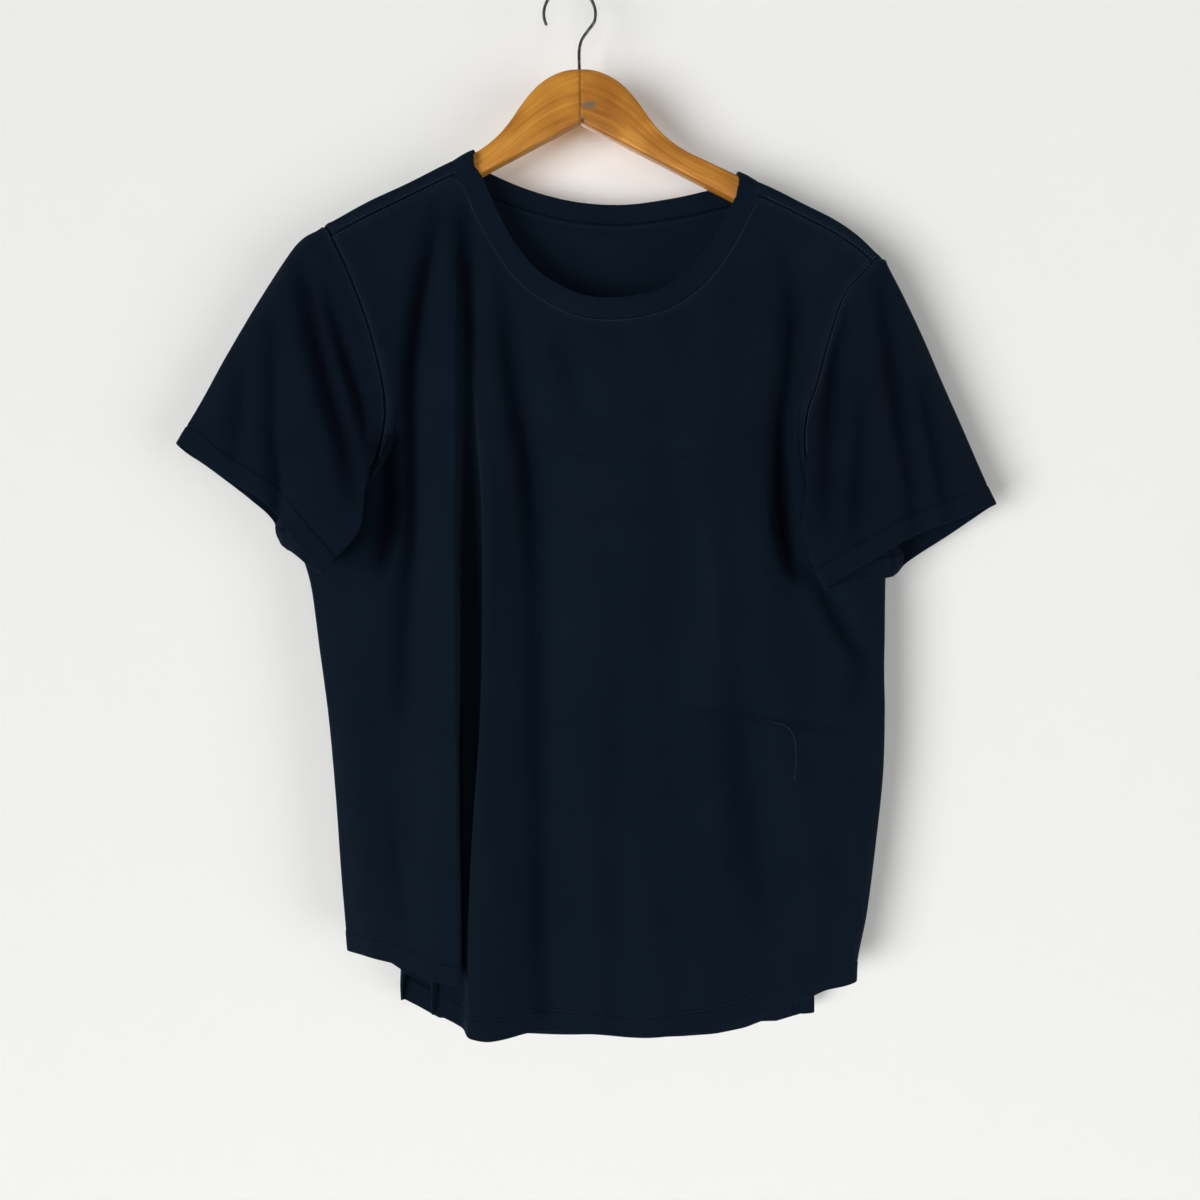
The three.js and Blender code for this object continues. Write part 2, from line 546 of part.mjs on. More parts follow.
/** Lines of the back below the shoulders. */
function shoulderLines(table) {
  return tableLines(table, shoulderBack).map((line) => backLine(line, line.points[0].x, -90));
}

/** The edge of the back with its rows over the shoulder. */
function backEdge(edge, top) {
  const over = [];
  for (let row = 0; row < RIDGE_ROWS; row += 1) {
    const angle = THREE.MathUtils.lerp(-90, 90, row / RIDGE_ROWS);
    const end = angle < 0 ? top.front : top.back;
    const bulge = Math.cos(THREE.MathUtils.degToRad(angle));
    over.push(overRidge(THREE.MathUtils.lerp(end, top.ridge, bulge), angle));
  }
  return [...over, ...edge];
}

/** The lines that begin round a corner of the neck. inward is +1 on the left, -1 on the right. */
function cornerLines(corner, inward) {
  return NECK_CORNER_STARTS.map((start, k) => {
    const x = corner.x.map((value, level) => {
      const step = level === 0 ? NECK_CORNER_STEP.top : NECK_CORNER_STEP.below;
      return value + inward * k * step;
    });
    const depth = NECK_ROWS_DEPTH * k / (NECK_CORNER_STARTS.length - 1);
    const points = linePoints({ x, y: corner.y, hem: corner.hem }, shoulderBack(x[0]) - depth);
    return backLine({ steps: 1, points }, x[0], start);
  });
}

const backEdgeLeft = edgePoints(ARMHOLE_TOP_LEFT.back, ARMHOLE_BACK_LEFT, SIDE_LEFT, 1);
const backEdgeRight = edgePoints(ARMHOLE_TOP_RIGHT.back, ARMHOLE_BACK_RIGHT, SIDE_RIGHT, 1);
const backTurn = (edge, top, inward) => {
  const turn = turnPoints(edge, inward, 1);
  const step = inward * ARMHOLE_TURN.in;
  return backEdge(turn, { front: top.front + step, ridge: top.ridge + step, back: turn[0].x });
};
const leftCorner = cornerLines(NECK_CORNER_LEFT, 1);
leftCorner[leftCorner.length - 1].steps = 2;
const rightCorner = cornerLines(NECK_CORNER_RIGHT, -1).reverse();
rightCorner[rightCorner.length - 1].steps = 2;
const backLines = [
  { steps: 1, points: backEdge(backEdgeLeft, ARMHOLE_TOP_LEFT) },
  { steps: 2, points: backTurn(backEdgeLeft, ARMHOLE_TOP_LEFT, 1) },
  ...shoulderLines(BACK_LINES_LEFT),
  ...pleatLines(BACK_PLEAT_LEFT, shoulderBack).map((line) => backLine(line, line.points[0].x, -90)),
  ...leftCorner,
  ...tableLines(BACK_LINES_MIDDLE, neckBack).map((line) => neckLine(line, line.points[0].x)),
  ...rightCorner,
  ...pleatLines(BACK_PLEAT_RIGHT, shoulderBack).map((line) => backLine(line, line.points[0].x, -90)),
  ...shoulderLines(BACK_LINES_RIGHT),
  { steps: 1, points: backTurn(backEdgeRight, ARMHOLE_TOP_RIGHT, -1) },
  { steps: 1, points: backEdge(backEdgeRight, ARMHOLE_TOP_RIGHT) },
];
const backGrid = panelRows(backLines);

// The columns between the lines also lie on the shoulders: both panels meet along the forward
// seams, and the back follows the ridge.
const NECK_LEFT = NECKLINE_FRONT[0][0];
const NECK_RIGHT = NECKLINE_FRONT[NECKLINE_FRONT.length - 1][0];
const inNeck = (point) => point.x > NECK_LEFT - TOLERANCE && point.x < NECK_RIGHT + TOLERANCE;
const onShoulder = (point) => !inNeck(point);
for (const point of frontGrid[0].filter(onShoulder)) {
  point.copy(overRidge(point.x, -90));
  point.z -= SEAM_GAP;
}
for (let row = 0; row < RIDGE_ROWS; row += 1) {
  for (const point of backGrid[row].filter(onShoulder)) {
    point.copy(overRidge(point.x, THREE.MathUtils.lerp(-90, 90, row / RIDGE_ROWS)));
  }
}

// ---- Sleeves ------------------------------------------------------------------------------------

/** The armhole as a closed ring from the ridge over the front to the armpit and up the back. */
function armholeRing(frontEdge, backEdgeWithRidge) {
  const half = RIDGE_ROWS / 2;
  const armpit = RIDGE_ROWS + ARMHOLE_ROWS;
  const ring = [];
  for (let row = half; row > 0; row -= 1) {
    ring.push(backEdgeWithRidge[row]);
  }
  for (let row = 0; row < ARMHOLE_ROWS; row += 1) {
    ring.push(frontEdge[row]);
  }
  ring.push(frontEdge[ARMHOLE_ROWS].clone().lerp(backEdgeWithRidge[armpit], 0.5));
  for (let row = armpit - 1; row > half; row -= 1) {
    ring.push(backEdgeWithRidge[row]);
  }
  return ring;
}

/** A column of a closed table as a smooth function of the share of the way round. */
function roundTable(lines, pick) {
  const last = lines[lines.length - 1];
  const keys = [last.at - 1, ...lines.map((line) => line.at), 1, 1 + lines[1].at];
  return through(keys, [pick(last), ...lines.map(pick), pick(lines[0]), pick(lines[1])]);
}

/** The share of the way round a ring at each of its points. */
function ringShares(ring) {
  const lengths = [0];
  ring.forEach((point, i) => lengths.push(lengths[i] + point.distanceTo(ring[(i + 1) % ring.length])));
  return ring.map((point, i) => lengths[i] / lengths[ring.length]);
}

/** Rows of a sleeve from the armhole ring to the cuff, each line through its five places. */
function sleeveGrid(ring, lines, outward) {
  const shares = ringShares(ring);
  const place = (column) => {
    const axes = [0, 1, 2].map((axis) => roundTable(lines, (line) => line[column][axis]));
    return shares.map((share) => new THREE.Vector3(...axes.map((axis) => axis(share))));
  };
  const foldAt = roundTable(lines, (line) => line.fold);
  const normals = ring.map((point, i) => ringNormal(ring, i, outward));
  const away = ring.map((point, i) => {
    const along = ring[(i + 1) % ring.length].clone().sub(ring[(i + ring.length - 1) % ring.length]);
    return along.cross(normals[i]).multiplyScalar(-outward).normalize();
  });
  const start = ring.map((point, i) => point.clone().addScaledVector(away[i], SEAM_GAP));
  const roll = ring.map((point, i) => point.clone().addScaledVector(away[i], SEAM_ROLL)
    .addScaledVector(normals[i], SEAM_ROLL * foldAt(shares[i])));
  const stations = [start, roll, place('near'), place('far'), place('cuff')];
  return SLEEVE_ROWS.map((down) => ring.map((point, i) => {
    const axes = [0, 1, 2].map((axis) => stations.map((station) => station[i].getComponent(axis)));
    return new THREE.Vector3(...axes.map((values) => through(SLEEVE_PLACES, values)(down)));
  }));
}

const ringLeft = armholeRing(frontEdgeLeft, backLines[0].points);
const ringRight = armholeRing(frontEdgeRight, backLines[backLines.length - 1].points);

// ---- Seams --------------------------------------------------------------------------------------

const FRONT_OUT = new THREE.Vector3(0, -1, 0);
const BACK_OUT = new THREE.Vector3(0, 1, 0);

/** Outward normal round an armhole ring, the same for the panels and the sleeve. */
function ringNormal(ring, i, outward) {
  const half = RIDGE_ROWS / 2;
  const armpit = half + ARMHOLE_ROWS;
  const point = ring[i];
  if (i < half || i > ring.length - half) {
    const angle = i < half ? -90 * (i / half) : 90 * ((ring.length - i) / half);
    return ridgeNormal(point.x, angle);
  }
  const nearPit = Math.max(0, 1 - Math.abs(i - armpit) / 2);
  const facing = i <= armpit ? FRONT_OUT : BACK_OUT;
  return facing.clone().lerp(new THREE.Vector3(outward, 0, 0), nearPit).normalize();
}

/** Outward normal of the cloth at the neck seam. */
function neckNormal(point) {
  const out = point.y / RIDGE_HALF_DEPTH;
  if (Math.abs(out) > RIDGE_SIDE_SHARE) {
    return out < 0 ? FRONT_OUT.clone() : BACK_OUT.clone();
  }
  const angle = Math.asin(Math.sign(out) * Math.abs(out) ** (1 / RIDGE_SQUARENESS));
  return ridgeNormal(point.x, THREE.MathUtils.radToDeg(angle));
}

/** Outward normal at the rims of the front panel. */
function frontSeamNormal(row, column) {
  const last = frontGrid[0].length - 1;
  if (column === 0 || column === last) {
    const outward = column === 0 ? -1 : 1;
    const ring = column === 0 ? ringLeft : ringRight;
    if (row > ARMHOLE_ROWS) {
      return new THREE.Vector3(outward, 0, 0);
    }
    return ringNormal(ring, RIDGE_ROWS / 2 + row, outward);
  }
  return row === 0 ? FRONT_OUT.clone() : null;
}

/** Outward normal at the rims of the back panel. */
function backSeamNormal(row, column) {
  const last = backGrid[0].length - 1;
  if (column === 0 || column === last) {
    const outward = column === 0 ? -1 : 1;
    const ring = column === 0 ? ringLeft : ringRight;
    const armpit = RIDGE_ROWS + ARMHOLE_ROWS;
    if (row > armpit) {
      return new THREE.Vector3(outward, 0, 0);
    }
    const half = RIDGE_ROWS / 2;
    const index = row <= half ? half - row : ring.length - (row - half);
    return ringNormal(ring, index % ring.length, outward);
  }
  return row === 0 ? neckNormal(backGrid[0][column]) : null;
}

// ---- Neckband -----------------------------------------------------------------------------------

// The neck seam as a closed ring: along the front from left to right, then back along the back.
const neckBehind = backGrid[0].filter((point) => inNeck(point) && point.y > TOLERANCE - RIDGE_HALF_DEPTH);
const neckRing = [...frontGrid[0].filter(inNeck), ...neckBehind.reverse()];

/** Rows of the band from its seam to its free edge, slightly rounded outward. */
function bandGrid() {
  const count = neckRing.length;
  const normals = neckRing.map(neckNormal);
  const inward = neckRing.map((point, i) => {
    const along = neckRing[(i + 1) % count].clone().sub(neckRing[(i + count - 1) % count]);
    return normals[i].clone().cross(along).normalize();
  });
  const grid = [];
  for (let row = 0; row <= BAND_ROWS; row += 1) {
    const share = row / BAND_ROWS;
    const reach = THREE.MathUtils.lerp(BAND_SEAM_GAP, BAND_WIDTH, share);
    const round = BAND_ROUND * Math.sin(Math.PI * share);
    grid.push(neckRing.map((point, i) => point.clone()
      .addScaledVector(inward[i], reach)
      .addScaledVector(normals[i], round + BAND_FLARE * share * normals[i].z)));
  }
  return grid;
}

const bandSeamNormal = (row, column) => (row === 0 ? neckNormal(neckRing[column]) : null);

// ---- Hanger -------------------------------------------------------------------------------------

/** A closed geometry as a solid that can be cut. */
function toSolid(geometry) {
  const plain = geometry.clone();
  plain.deleteAttribute('normal');
  plain.deleteAttribute('uv');
  const merged = BufferGeometryUtils.mergeVertices(plain, 1e-4);
  return new wasm.Manifold(new wasm.Mesh({
    numProp: 3,
    vertProperties: new Float32Array(merged.attributes.position.array),
    triVerts: new Uint32Array(merged.index.array),
  }));
}

/** A cut solid as a geometry. */
function toGeometry(solid) {
  const mesh = solid.getMesh();
  const geometry = new THREE.BufferGeometry();
  geometry.setAttribute('position', new THREE.Float32BufferAttribute(mesh.vertProperties, 3));
  geometry.setIndex(new THREE.Uint32BufferAttribute(mesh.triVerts, 1));
  geometry.computeVertexNormals();
  return geometry;
}

/** The whole hanger body: its outline cut from a board, with rounded edges, then tilted. */
function woodGeometry() {
  const half = [...WOOD_TOP_EDGE, ...WOOD_TIP_EDGE, ...WOOD_UNDER_EDGE];
  const outline = [...half, ...half.slice(1, -1).reverse().map(([along, down]) => [-along, down])];
  const inset = new THREE.Shape(outline.map(([along, down]) => new THREE.Vector2(along, down)));
  const geometry = new THREE.ExtrudeGeometry(inset, {
    depth: WOOD_THICKNESS - 2 * WOOD_ROUND,
    bevelEnabled: true,
    bevelThickness: WOOD_ROUND,
    bevelSize: WOOD_ROUND,
    bevelOffset: -WOOD_ROUND,
    bevelSegments: WOOD_BEVEL_STEPS,
  });
  geometry.translate(0, 0, WOOD_ROUND - WOOD_THICKNESS / 2);
  geometry.rotateX(Math.PI / 2);
  geometry.rotateY(-WOOD_TILT);
  geometry.translate(WOOD_TOP.x, 0, WOOD_TOP.z);
  return geometry;
}

/** The line of the hook's wire, from its open end over the round and down the shank. */
function hookCurve() {
  const points = [];
  for (let degrees = HOOK_OPEN_ANGLE; degrees >= HOOK_TURN_ANGLE; degrees -= HOOK_STEP) {
    const angle = THREE.MathUtils.degToRad(degrees);
    points.push(new THREE.Vector3(
      HOOK_RADIUS * Math.cos(angle), 0, HOOK_CENTRE_Z + HOOK_RADIUS * Math.sin(angle),
    ));
  }
  points.push(...HOOK_NECK.map(([x, z]) => new THREE.Vector3(x, 0, z)));
  points.push(new THREE.Vector3(SHANK_X, 0, WOOD_TOP.z));
  points.push(new THREE.Vector3(SHANK_X, 0, WOOD_TOP.z - SHANK_DEPTH));
  return new THREE.CatmullRomCurve3(points, false, 'centripetal');
}

/** A round wire of a radius along a curve. */
function wireGeometry(curve, radius, steps) {
  const section = new THREE.Shape();
  section.absarc(0, 0, radius, 0, 2 * Math.PI);
  return new THREE.ExtrudeGeometry(section, { steps, curveSegments: WIRE_SEGMENTS, extrudePath: curve });
}

/** One half of the hanger body: the board on its side of the joint, drilled for the shank. */
function woodHalf(side) {
  const box = new THREE.BoxGeometry(WOOD_HALF_BOX, WOOD_HALF_BOX, WOOD_HALF_BOX);
  box.translate(WOOD_TOP.x + side * (WOOD_HALF_BOX + WOOD_JOINT_GAP) / 2, 0, WOOD_TOP.z);
  const hole = new THREE.CylinderGeometry(
    WIRE_RADIUS + SEAM_GAP, WIRE_RADIUS + SEAM_GAP, 2 * (SHANK_DEPTH + SEAM_GAP), HOLE_SEGMENTS,
  );
  hole.rotateX(Math.PI / 2);
  hole.translate(SHANK_X, 0, WOOD_TOP.z);
  return toGeometry(toSolid(woodGeometry()).intersect(toSolid(box)).subtract(toSolid(hole)));
}

// ---- The pieces ---------------------------------------------------------------------------------

const group = new THREE.Group();

/** Adds one named piece. */
function addPiece(name, geometry, material) {
  const mesh = new THREE.Mesh(geometry, material);
  mesh.name = name;
  group.add(mesh);
}

/** Adds one piece of cloth from the grid of its middle surface. */
function addCloth(name, grid, thickness, options) {
  addPiece(name, wallGeometry(grid, thickness, options), cloth());
}

/** Adds a sleeve. outward is -1 on the left, +1 on the right. */
function addSleeve(name, ring, lines, outward) {
  const seamNormal = (row, column) => (row === 0 ? ringNormal(ring, column, outward) : null);
  const options = { closed: true, flip: outward > 0, seamNormal };
  addCloth(name, sleeveGrid(ring, lines, outward), CLOTH_WALL, options);
}

addCloth('front_panel', frontGrid, CLOTH_WALL, { seamNormal: frontSeamNormal });
addCloth('back_panel', backGrid, CLOTH_WALL, { flip: true, seamNormal: backSeamNormal });
addSleeve('sleeve_left', ringLeft, SLEEVE_LINES_LEFT, -1);
addSleeve('sleeve_right', ringRight, SLEEVE_LINES_RIGHT, 1);
addCloth('neckband', bandGrid(), BAND_WALL, { closed: true, flip: true, seamNormal: bandSeamNormal });
addPiece('hanger_arm_left', woodHalf(-1), wood());
addPiece('hanger_arm_right', woodHalf(1), wood());
addPiece('hanger_hook', wireGeometry(hookCurve(), WIRE_RADIUS, HOOK_WIRE_STEPS), steel());

export default group;
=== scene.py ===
# A navy crew-neck t-shirt on a wooden hanger with a wire hook.
# Lengths in the tables are millimetres: x to the viewer's right, y away from the viewer, z up, from
# the inside top of the hook. Every mesh is turned into metres as it is made.
import math

import bpy
import numpy as np
from mathutils import Matrix


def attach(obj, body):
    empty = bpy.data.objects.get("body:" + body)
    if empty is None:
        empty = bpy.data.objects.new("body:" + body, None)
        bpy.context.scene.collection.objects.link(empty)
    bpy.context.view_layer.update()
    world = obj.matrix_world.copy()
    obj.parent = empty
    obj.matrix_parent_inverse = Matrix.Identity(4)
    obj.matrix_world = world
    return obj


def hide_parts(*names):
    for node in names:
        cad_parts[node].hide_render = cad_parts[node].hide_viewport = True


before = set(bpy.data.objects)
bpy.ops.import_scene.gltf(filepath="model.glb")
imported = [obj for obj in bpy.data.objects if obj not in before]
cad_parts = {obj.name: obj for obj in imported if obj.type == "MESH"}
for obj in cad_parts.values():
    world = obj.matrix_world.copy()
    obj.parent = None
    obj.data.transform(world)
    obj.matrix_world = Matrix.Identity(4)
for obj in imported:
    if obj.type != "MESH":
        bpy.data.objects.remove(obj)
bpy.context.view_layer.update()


# ---- Camera, wall and lights ---------------------------------------------------------------------
# The shirt hangs close in front of a pale wall and is looked at squarely, from about a metre away,
# with the camera turned a little clockwise. Wide windows light it from both sides in front, the
# left one more strongly, and a weak lamp fills in between them. One more lamp lights the back.

# Sizes in this section are metres, apart from the camera's film and lens.
EYE = (0.0140, -0.930, -0.4734)
EYE_ROLL = math.radians(1.2)
FILM_WIDTH = LENS = 36
WALL_Y = 0.037
WALL_TOP = 2
WALL_REACH = 3                   # to each side
FLOOR_Z = -1.16
FLOOR_REACH = 4
LIT_SPOT = (0, 0, -0.45)         # what every light is turned to
ROOM_GLOW = 0.05

camera_data = bpy.data.cameras.new("camera")
camera_data.sensor_width = FILM_WIDTH
camera_data.lens = LENS
camera = bpy.data.objects.new("camera", camera_data)
bpy.context.collection.objects.link(camera)
camera.matrix_world = Matrix((
    (math.cos(EYE_ROLL), math.sin(EYE_ROLL), 0, EYE[0]),
    (0, 0, -1, EYE[1]),
    (-math.sin(EYE_ROLL), math.cos(EYE_ROLL), 0, EYE[2]),
    (0, 0, 0, 1),
))
bpy.context.scene.camera = camera


def new_material(name, color, roughness, metallic=0.0):
    """A material with one principled shader. Returns it and the shader."""
    material = bpy.data.materials.new(name)
    material.use_nodes = True
    shader = material.node_tree.nodes["Principled BSDF"]
    shader.inputs["Base Color"].default_value = (*color, 1)
    shader.inputs["Roughness"].default_value = roughness
    shader.inputs["Metallic"].default_value = metallic
    return material, shader


def add_node(material, kind, inputs=(), **settings):
    """One shader node. inputs pairs a socket with a value or with the output that feeds it."""
    node = material.node_tree.nodes.new(kind)
    for name, value in settings.items():
        setattr(node, name, value)
    for socket, value in dict(inputs).items():
        if isinstance(value, bpy.types.NodeSocket):
            material.node_tree.links.new(value, node.inputs[socket])
        else:
            node.inputs[socket].default_value = value
    return node


def add_ramp(material, factor, stops):
    """A colour ramp with (place, colour) stops, fed by factor."""
    ramp = add_node(material, "ShaderNodeValToRGB", {"Fac": factor})
    elements = ramp.color_ramp.elements
    while len(elements) < len(stops):
        elements.new(0.5)
    for element, (place, color) in zip(elements, stops):
        element.position = place
        element.color = (*color, 1)
    return ramp


def feed(material, output, socket):
    """Joins an output to a shader's socket."""
    material.node_tree.links.new(output, socket)


def flat_board(name, corners, material):
    """A plain rectangle that is no part of the object, and lets the light through."""
    mesh = bpy.data.meshes.new(name)
    mesh.from_pydata(corners, [], [(0, 1, 2, 3)])
    mesh.materials.append(material)
    board = bpy.data.objects.new(name, mesh)
    bpy.context.collection.objects.link(board)
    board.visible_shadow = False


# The wall is painted on its front only and is clear from behind, so the shirt's back can be seen.
wall_paint, wall_shader = new_material("wall_paint", (0.75, 0.75, 0.74), 0.9)
behind = add_node(wall_paint, "ShaderNodeNewGeometry")
clear = add_node(wall_paint, "ShaderNodeBsdfTransparent")
either = add_node(wall_paint, "ShaderNodeMixShader", {
    0: behind.outputs["Backfacing"], 1: wall_shader.outputs[0], 2: clear.outputs[0]})
feed(wall_paint, either.outputs[0], wall_paint.node_tree.nodes["Material Output"].inputs["Surface"])
flat_board("wall", [(-WALL_REACH, WALL_Y, FLOOR_Z), (WALL_REACH, WALL_Y, FLOOR_Z),
                    (WALL_REACH, WALL_Y, WALL_TOP), (-WALL_REACH, WALL_Y, WALL_TOP)], wall_paint)
floor_paint, _ = new_material("floor_paint", (0.72, 0.72, 0.71), 0.9)
flat_board("floor", [(-FLOOR_REACH, -FLOOR_REACH, FLOOR_Z), (FLOOR_REACH, -FLOOR_REACH, FLOOR_Z),
                     (FLOOR_REACH, FLOOR_REACH, FLOOR_Z), (-FLOOR_REACH, FLOOR_REACH, FLOOR_Z)], floor_paint)


def put_light(name, data, place):
    """Puts a light at a place, with its beam towards the lit spot."""
    light = bpy.data.objects.new(name, data)
    bpy.context.collection.objects.link(light)
    back = np.subtract(place, LIT_SPOT)
    back /= np.linalg.norm(back)
    side = np.cross((0, 0, 1), back)
    side /= np.linalg.norm(side)
    columns = (side, np.cross(back, side), back, place)
    light.matrix_world = Matrix([[float(column[row]) for column in columns] for row in range(3)]
                                + [[0, 0, 0, 1]])


def window_light(name, place, spread, strength):
    """Even light from far away, from the direction of a place, spread over some degrees."""
    data = bpy.data.lights.new(name, "SUN")
    data.angle = math.radians(spread)
    data.energy = strength
    put_light(name, data, place)


def lamp(name, place, size, watts):
    """A round lamp with a soft cover."""
    data = bpy.data.lights.new(name, "AREA")
    data.shape = "DISK"
    data.size = size
    data.energy = watts
    put_light(name, data, place)


window_light("left_window", (-2.0, -2.2, -1.2), 34, 2.9)
window_light("right_window", (2.5, -1.9, -1.3), 34, 1.1)
lamp("front_lamp", (0.05, -2.2, -0.5), 0.9, 9)
lamp("back_lamp", (-0.6, 2.2, 0.3), 1.4, 60)
world = bpy.data.worlds.new("room")
world.use_nodes = True
world.node_tree.nodes["Background"].inputs["Color"].default_value = (1, 1, 1, 1)
world.node_tree.nodes["Background"].inputs["Strength"].default_value = ROOM_GLOW
bpy.context.scene.world = world
bpy.context.scene.view_settings.view_transform = "Standard"


# ---- Hook ----------------------------------------------------------------------------------------
# One piece of dull steel wire, bent round for the rail and down into the wood. It is carried as a
# round section along the bent line, and its cut end is slightly eased.

MM = 0.001
WIRE_RADIUS = 1.2
WIRE_SIDES = 16
HOOK_RADIUS = 20.0               # centre line of the round
HOOK_ANGLES = np.radians(np.arange(205, -21, -15))
HOOK_RINGS = 171
CUT_END = 0.7                    # length over which the cut end is eased
# Points (x, z) down the shank, from the round into the wood.
HOOK_SHANK = [(14, -32), (9, -39), (7, -46), (6.6, -53), (6.6, -63.5), (6.6, -89.5)]


def through(keys, values, at):
    """Values at each place in at, on a cubic through (key, value) pairs.

    Between two keys the curve is the Hermite cubic, and its slope at a key is the slope from the
    key before it to the key after it.
    """
    keys, values, at = (np.asarray(item, float) for item in (keys, values, at))
    if keys[0] > keys[-1]:
        keys, at = -keys, -at
    count = len(keys)
    before = np.maximum(np.arange(count) - 1, 0)
    after = np.minimum(np.arange(count) + 1, count - 1)
    slope = ((values[after] - values[before]).T / (keys[after] - keys[before])).T
    left = np.clip(np.searchsorted(keys, at, side="right") - 1, 0, count - 2)
    span = keys[left + 1] - keys[left]
    t = np.clip((at - keys[left]) / span, 0, 1)
    shape = t.shape + (1,) * (values.ndim - 1)
    t, span = t.reshape(shape), span.reshape(shape)
    return ((2 * t**3 - 3 * t**2 + 1) * values[left] + (t**3 - 2 * t**2 + t) * span * slope[left]
            + (3 * t**2 - 2 * t**3) * values[left + 1] + (t**3 - t**2) * span * slope[left + 1])


def lengths_along(points):
    """Distance from the first point to each point, along the last but one axis."""
    steps = np.linalg.norm(np.diff(points, axis=-2), axis=-1)
    return np.concatenate([np.zeros(steps.shape[:-1] + (1,)), np.cumsum(steps, axis=-1)], axis=-1)


def along(points, shares):
    """Points at shares of the length of the smooth curve through the given points."""
    points = np.asarray(points, float)
    chord = lengths_along(points)
    fine = through(chord, points, np.linspace(0, chord[-1], 12 * len(points) + 200))
    length = lengths_along(fine)
    return np.stack([np.interp(shares * length[-1], length, axis) for axis in fine.T], axis=-1)


def unit(vectors):
    """The same vectors at length 1."""
    return vectors / np.maximum(np.linalg.norm(vectors, axis=-1, keepdims=True), 1e-9)


def make_mesh(name, points, quads, material, uv=None, uv_quads=None, caps=(), painted_shade=None):
    """A smooth-shaded piece from points in millimetres and arrays of corner numbers.

    uv holds metres along the surface, for each point or for the numbers in uv_quads. caps are
    further faces with any number of corners. The last argument tells each point how deep it lies in a
    crease or how high on a ridge; it is stored for the painted shade and painted highlight of the cloth's
    colour.
    """
    mesh = bpy.data.meshes.new(name)
    faces = [quads, *(np.atleast_2d(cap) for cap in caps)]
    corners = np.concatenate([face.ravel() for face in faces]).astype(np.int32)
    sizes = np.concatenate([np.full(len(face), face.shape[1]) for face in faces])
    mesh.vertices.add(len(points))
    mesh.vertices.foreach_set("co", (points * MM).astype(np.float32).ravel())
    mesh.loops.add(len(corners))
    mesh.loops.foreach_set("vertex_index", corners)
    mesh.polygons.add(len(sizes))
    starts = np.concatenate([[0], np.cumsum(sizes)[:-1]])
    mesh.polygons.foreach_set("loop_start", starts.astype(np.int32))
    mesh.update(calc_edges=True)
    mesh.polygons.foreach_set("use_smooth", np.ones(len(sizes), bool))
    if uv is not None:
        layer = mesh.uv_layers.new(name="cloth")
        places = corners if uv_quads is None else uv_quads.ravel()
        layer.data.foreach_set("uv", uv[places].astype(np.float32).ravel())
    # Crease depth stored as an attribute, which the cloth's material turns into painted shade.
    if painted_shade is not None:
        mesh.attributes.new("painted_shade", "FLOAT", "POINT").data.foreach_set("value", painted_shade.astype(np.float32))
    mesh.materials.append(material)
    mesh.validate()
    piece = bpy.data.objects.new(name, mesh)
    bpy.context.collection.objects.link(piece)
    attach(piece, "root")
    return piece


def ring_faces(rings, sides):
    """Quads between rings of points that follow one another, and the two faces that end them."""
    row, column = np.mgrid[0:rings - 1, 0:sides]
    here, nearby = row * sides + column, row * sides + (column + 1) % sides
    quads = np.stack([here, here + sides, nearby + sides, nearby], axis=-1).reshape(-1, 4)
    return quads, [np.arange(sides), np.arange((rings - 1) * sides, rings * sides)[::-1]]


def tube(name, path, radii, sides, across, material):
    """A round section carried along a path.

    Ring i is path[i] + radii[i] * (cos a * side + sin a * across), where side is square to the
    path and to across, the direction that the path never turns towards.
    """
    tangent = unit(np.gradient(path, axis=0))
    side = unit(np.cross(tangent, across))
    angle = np.linspace(0, 2 * np.pi, sides, endpoint=False)
    ring = np.cos(angle)[:, None] * side[:, None] + np.sin(angle)[:, None] * np.asarray(across, float)
    points = (path[:, None] + radii[:, None, None] * ring).reshape(-1, 3)
    quads, caps = ring_faces(len(path), sides)
    return make_mesh(name, points, quads, material, caps=caps)


steel, steel_shader = new_material("hook_steel", (0.16, 0.16, 0.165), 0.38, 0.9)
place = add_node(steel, "ShaderNodeTexCoord")
tarnish = add_node(steel, "ShaderNodeTexNoise", {
    "Vector": place.outputs["Object"], "Scale": 260, "Detail": 4, "Roughness": 0.6})
steel_color = add_ramp(steel, tarnish.outputs["Fac"], [
    (0.35, (0.07, 0.065, 0.062)), (0.55, (0.17, 0.17, 0.175)), (0.75, (0.28, 0.28, 0.29))])
feed(steel, steel_color.outputs["Color"], steel_shader.inputs["Base Color"])
drawn = add_node(steel, "ShaderNodeBump", {
    "Height": tarnish.outputs["Fac"], "Strength": 0.2, "Distance": 0.0002})
feed(steel, drawn.outputs["Normal"], steel_shader.inputs["Normal"])

hook_points = [(HOOK_RADIUS * math.cos(a), 0, WIRE_RADIUS - HOOK_RADIUS + HOOK_RADIUS * math.sin(a))
               for a in HOOK_ANGLES] + [(x, 0, z) for x, z in HOOK_SHANK]
hook_path = along(hook_points, np.linspace(0, 1, HOOK_RINGS))
hook_radii = WIRE_RADIUS * np.sqrt(np.clip(lengths_along(hook_path) / CUT_END, 0.35, 1))
hook = tube("hook_wire", hook_path, hook_radii, WIRE_SIDES, (0, 1, 0), steel)
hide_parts("hanger_hook")


# ---- Hanger body ---------------------------------------------------------------------------------
# Two halves of varnished beech, cut from 12 mm board, rounded on every edge and joined in the
# middle. Each is a rounded section between its top edge and its under edge.

WOOD_HALF_DEPTH = 6.0
WOOD_ROUND = 2.5
ROUND_SHARE = 0.92               # the rounding takes at most this share of the thinner tip
CORNER_POINTS = 6
WOOD_SECTIONS = 91
WOOD_TOP = (7.2, -63.5)
WOOD_TILT = math.radians(-0.75)
JOINT_GAP = 0.15                 # from the centre to each half
JOINT_EASE = 0.1                 # how far the edges at the joint are rubbed down
JOINT_WORN_SECTIONS = 0.6        # and over how many sections this fades
GRAIN_SHIFT = 60                 # the two halves are cut from different places of the board
